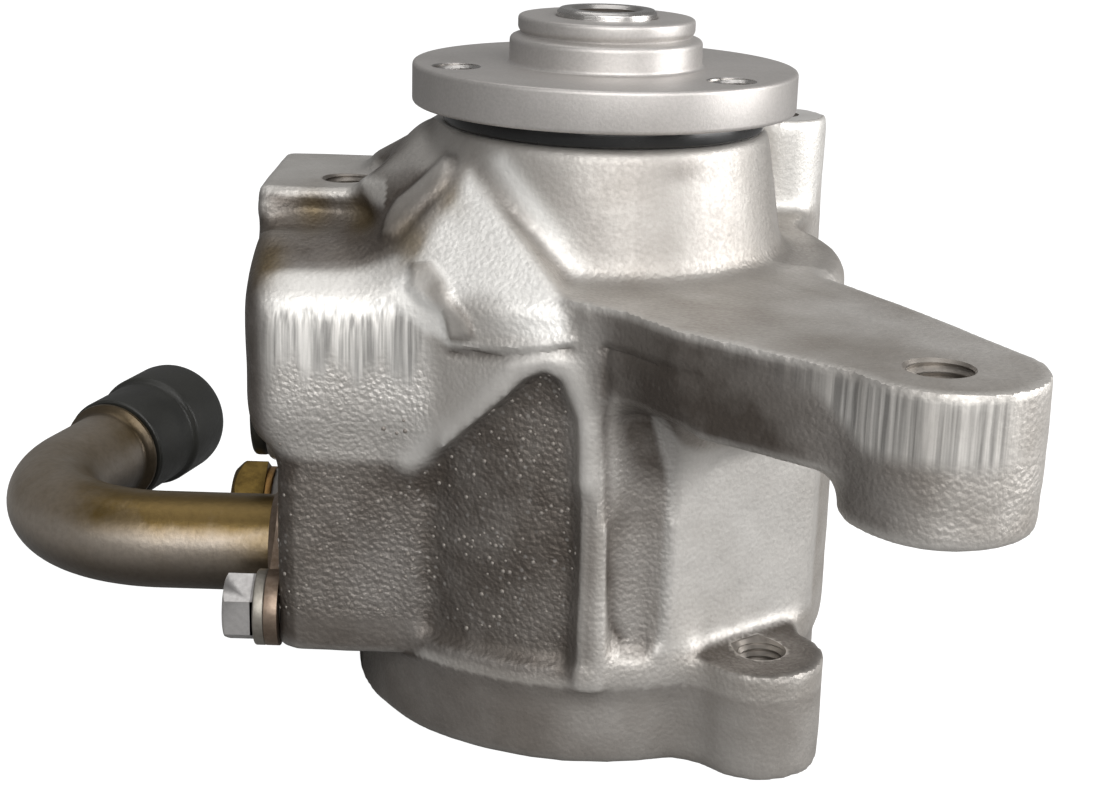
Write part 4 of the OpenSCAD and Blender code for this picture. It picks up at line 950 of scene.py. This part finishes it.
# Painted shade: darker brown on faces turned down.
below = ranged(tree, normal_z, 0.35, -0.5, 0.0, 0.9, "SMOOTHSTEP")
darkened_below_and_at_bead = mixed(tree, below, upper, "#4f473e")
along_tail = add(tree, "ShaderNodeVectorMath", {"operation": "DOT_PRODUCT"}, {0: place, 1: TAIL_WAY})
# Darker from the bead on.
at_bead = ranged(tree, along_tail.outputs["Value"], 0.0085, 0.0102, 0.0, 0.85, "SMOOTHSTEP")
darkened_below_and_at_bead = mixed(tree, at_bead, darkened_below_and_at_bead, "#463b2a")
pitted = ranged(tree, fleck, 0.32, 0.6, 0.9, 1.04)
worn = mixed(tree, 1.0, darkened_below_and_at_bead, pitted, "MULTIPLY")
orange_skin = bumped(tree, fleck, 0.18, 0.3)
feed(tree, shader, {"Base Color": worn, "Normal": orange_skin, "Metallic": 0.85, "Roughness": 0.36})

tube_tree, given = geometry_tree("swept_tube", (), ("Sides",))
level = add(tube_tree, "GeometryNodeSetCurveNormal", {"mode": "Z_UP"}, {"Curve": given["Geometry"]})
round_section = add(
    tube_tree, "GeometryNodeCurvePrimitiveCircle", None, {"Resolution": given["Sides"], "Radius": 1.0},
)
width = add(tube_tree, "GeometryNodeInputRadius")
swept = add(
    tube_tree, "GeometryNodeCurveToMesh", None,
    {"Curve": level.outputs["Curve"], "Profile Curve": round_section.outputs["Curve"],
     "Scale": width.outputs["Radius"], "Fill Caps": True},
)
geometry_end(tube_tree, swept.outputs["Mesh"], given["Material"])


def tube(name, radius, bead, over):
    """The pipe's path swept with a radius and a bead, its ends lengthened by some millimetres."""
    stops = [(Vector((-42.0 + over, *PIPE_AXIS)), radius), (Vector((-52, *PIPE_AXIS)), radius)]
    for k in range(41):
        t = math.radians(-90 - BEND_DEGREES * k / 40)
        east, north = BEND_CENTRE[0] + BEND_RADIUS * math.cos(t), BEND_CENTRE[1] + BEND_RADIUS * math.sin(t)
        stops.append((Vector((east, north, PIPE_AXIS[1])), radius))
    for k in range(1, 69):
        far = 0.5 * k
        swell = bead * math.exp(-(((far - BEAD_FROM_BEND) / 0.95) ** 2))
        stops.append((TAIL_START + TAIL_WAY * (far if k < 68 else far + over), radius + swell))
    path = bpy.data.curves.new(name, "CURVE")
    path.dimensions = "3D"
    line = path.splines.new("POLY")
    line.points.add(len(stops) - 1)
    for point, (spot, size) in zip(line.points, stops):
        point.co = (*(spot * MM), 1)
        point.radius = size * MM
    thing = grown(name, tube_tree, {"Sides": 64, "Material": gold}, path)
    made = bmesh.new()
    made.from_mesh(thing.data)
    bmesh.ops.remove_doubles(made, verts=made.verts, dist=1e-6)
    bmesh.ops.recalc_face_normals(made, faces=made.faces)
    made.to_mesh(thing.data)
    made.free()
    thing.data.materials.append(gold)
    return thing


pipe = tube("suction_pipe_bent", 8.3, 1.5, 0)
cut(pipe, tube("pipe_bore", 6.9, 0, 3))
smooth(pipe, 40)
fitted(pipe, "suction_pipe", "pump")
coat(("pipe_o_ring",), rubber)


# Pipe flange and its bolt.
# A pressed plate brazed round the pipe, with one ear; a hexagon bolt and washer hold it to the inlet block.
# The plate's zinc has turned brown-pink; bolt and washer keep a plain silver-grey zinc.
plate_zinc = worked_metal("browned_zinc_pressed_plate", "#665648", "#9a8a7c", 0.42, 0.9, (1.0, 1.0, 1.0))
silver_zinc = worked_metal("zinc_plated_forged_steel", "#a5a2a0", "#d2cfcd", 0.38, 0.8, (1.0, 1.0, 1.0))
dull_zinc = worked_metal("zinc_plated_stamped_washer", "#7f7a72", "#aaa59c", 0.46, 0.8, (1.0, 1.0, 1.0))
flange = refined("pipe_flange", "pipe_flange_plate", 0.4, plate_zinc)
fitted(flange, "pipe_flange", "pump")
bolt = refined("pipe_bolt", "pipe_flange_bolt", 0, silver_zinc)
crown = drum((-59.0, *BOLT_AXIS), (-53.2, *BOLT_AXIS), 5.0, 15.0)
joined(crown, drum((-54.5, *BOLT_AXIS), (-30, *BOLT_AXIS), 9.0))
cut(bolt, solid("crown", crown, silver_zinc, silver_zinc), "INTERSECT")
smooth(bolt, 30)
fitted(bolt, "pipe_bolt", "pump")
fitted(refined("pipe_washer", "pipe_flange_washer", 0.3, dull_zinc), "pipe_washer", "pump")


# Pipe cap.
# A moulded rubber cap pushed over the pipe end up to the bead, with a thicker outer half and a domed end.
# Black with a green-grey cast and a soft sheen along the top.
cap_outline = [(8.3, 0), (10.2, 0), (10.2, 12.6), (11.1, 13.4), (11.1, 23)]
dome = [math.radians(degrees) for degrees in range(15, 91, 15)]
cap_outline += [(6.1 + 5 * math.cos(t), 23 + 5 * math.sin(t)) for t in dome]
cap_outline += [(0, 28), (0, 19), (8.3, 19)]
cap_turn = TAIL_WAY.to_track_quat("Z", "Y").to_matrix().to_4x4()
cap_place = Matrix.Translation((TAIL_START + TAIL_WAY * 15) * MM) @ cap_turn
cap = turned_piece("pipe_end_cap", eased(cap_outline, 0.5), rubber, sides=96, place=cap_place)
fitted(cap, "pipe_cap", "pump")


# Side plug.
# A hexagon screw plug on a bronze washer closes a drilling behind the pipe; its head is chamfered.
# Yellow zinc again, here a darker olive gold.
olive = worked_metal("yellow_zinc_turned_plug", "#4c3c20", "#7c6636", 0.4, 0.9, (1.0, 1.0, 1.0))
fitted(refined("side_plug", "side_screw_plug", 0.35, olive), "side_plug", "pump")
fitted(refined("side_washer", "side_plug_washer", 0.2, bronze), "side_washer", "pump")


# Studio.
# A pale floor under soft light from the right, with the camera where the photo was taken.
floor_paint, tree, shader, place = new_material("white_paper_floor")
tree.nodes.clear()
seen = add(tree, "ShaderNodeLightPath").outputs["Is Camera Ray"]
paper = add(tree, "ShaderNodeBsdfDiffuse", None, {"Color": hex_colour("#f4f4f4")})
dim = add(tree, "ShaderNodeBsdfDiffuse", None, {"Color": hex_colour("#9a9a9a")})
glow = add(tree, "ShaderNodeEmission", None, {"Strength": 1.25})
lit = add(tree, "ShaderNodeMixShader", None, {0: 0.8, 1: paper.outputs[0], 2: glow.outputs[0]})
both = add(tree, "ShaderNodeMixShader", None, {0: seen, 1: dim.outputs[0], 2: lit.outputs[0]})
add(tree, "ShaderNodeOutputMaterial", None, {"Surface": both.outputs[0]})
floor_mesh = bmesh.new()
bmesh.ops.create_grid(floor_mesh, x_segments=1, y_segments=1, size=6)
floor = solid("floor", floor_mesh, floor_paint)
floor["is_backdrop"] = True

world = bpy.data.worlds.new("studio")
bpy.context.scene.world = world
world.use_nodes = True
tree = world.node_tree
tree.nodes.clear()
seen = add(tree, "ShaderNodeLightPath").outputs["Is Camera Ray"]
room = add(tree, "ShaderNodeBackground", None, {"Color": hex_colour("#ffffff"), "Strength": 0.25})
paper = add(tree, "ShaderNodeBackground", None, {"Color": hex_colour("#ffffff"), "Strength": 1.0})
both = add(tree, "ShaderNodeMixShader", None, {0: seen, 1: room.outputs[0], 2: paper.outputs[0]})
add(tree, "ShaderNodeOutputWorld", None, {"Surface": both.outputs[0]})

for name, place, size, watts in (
    ("key", (0.16, -0.80, 0.55), 0.90, 10.8),
    ("right", (0.72, -0.10, 0.28), 0.55, 6.2),
    ("fill", (-0.50, -0.65, 0.40), 0.50, 0.7),
    ("top", (-0.05, 0.10, 0.80), 0.60, 1.5),
):
    lamp = bpy.data.lights.new(name, "AREA")
    lamp.size = size
    lamp.energy = watts
    stand = bpy.data.objects.new(name, lamp)
    stand.location = place
    stand.rotation_euler = (Vector((0, 0, 0.055)) - Vector(place)).to_track_quat("-Z", "Y").to_euler()
    bpy.context.collection.objects.link(stand)

lens = bpy.data.cameras.new("camera")
PHOTO_WIDTH_PX = 1118
FOCAL_PX = 1950
CAMERA_SPOT = (-0.0058, -0.3159, 0.1452)
PITCH_DEGREES = 17.20
ROLL_DEGREES = 1.75
lens.sensor_width = 36
lens.lens = lens.sensor_width * FOCAL_PX / PHOTO_WIDTH_PX
lens.clip_start = 0.01
camera = bpy.data.objects.new("camera", lens)
bpy.context.collection.objects.link(camera)
pitch, roll = math.radians(PITCH_DEGREES), math.radians(ROLL_DEGREES)
ahead = Vector((0, math.cos(pitch), -math.sin(pitch)))
level_up = Vector((0, math.sin(pitch), math.cos(pitch)))
right = Vector((1, 0, 0)) * math.cos(roll) + level_up * math.sin(roll)
up = level_up * math.cos(roll) - Vector((1, 0, 0)) * math.sin(roll)
stand = Matrix((right, up, -ahead)).transposed().to_4x4()
camera.matrix_world = Matrix.Translation(CAMERA_SPOT) @ stand
bpy.context.scene.camera = camera
bpy.context.scene.view_settings.view_transform = "Standard"

low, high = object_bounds()
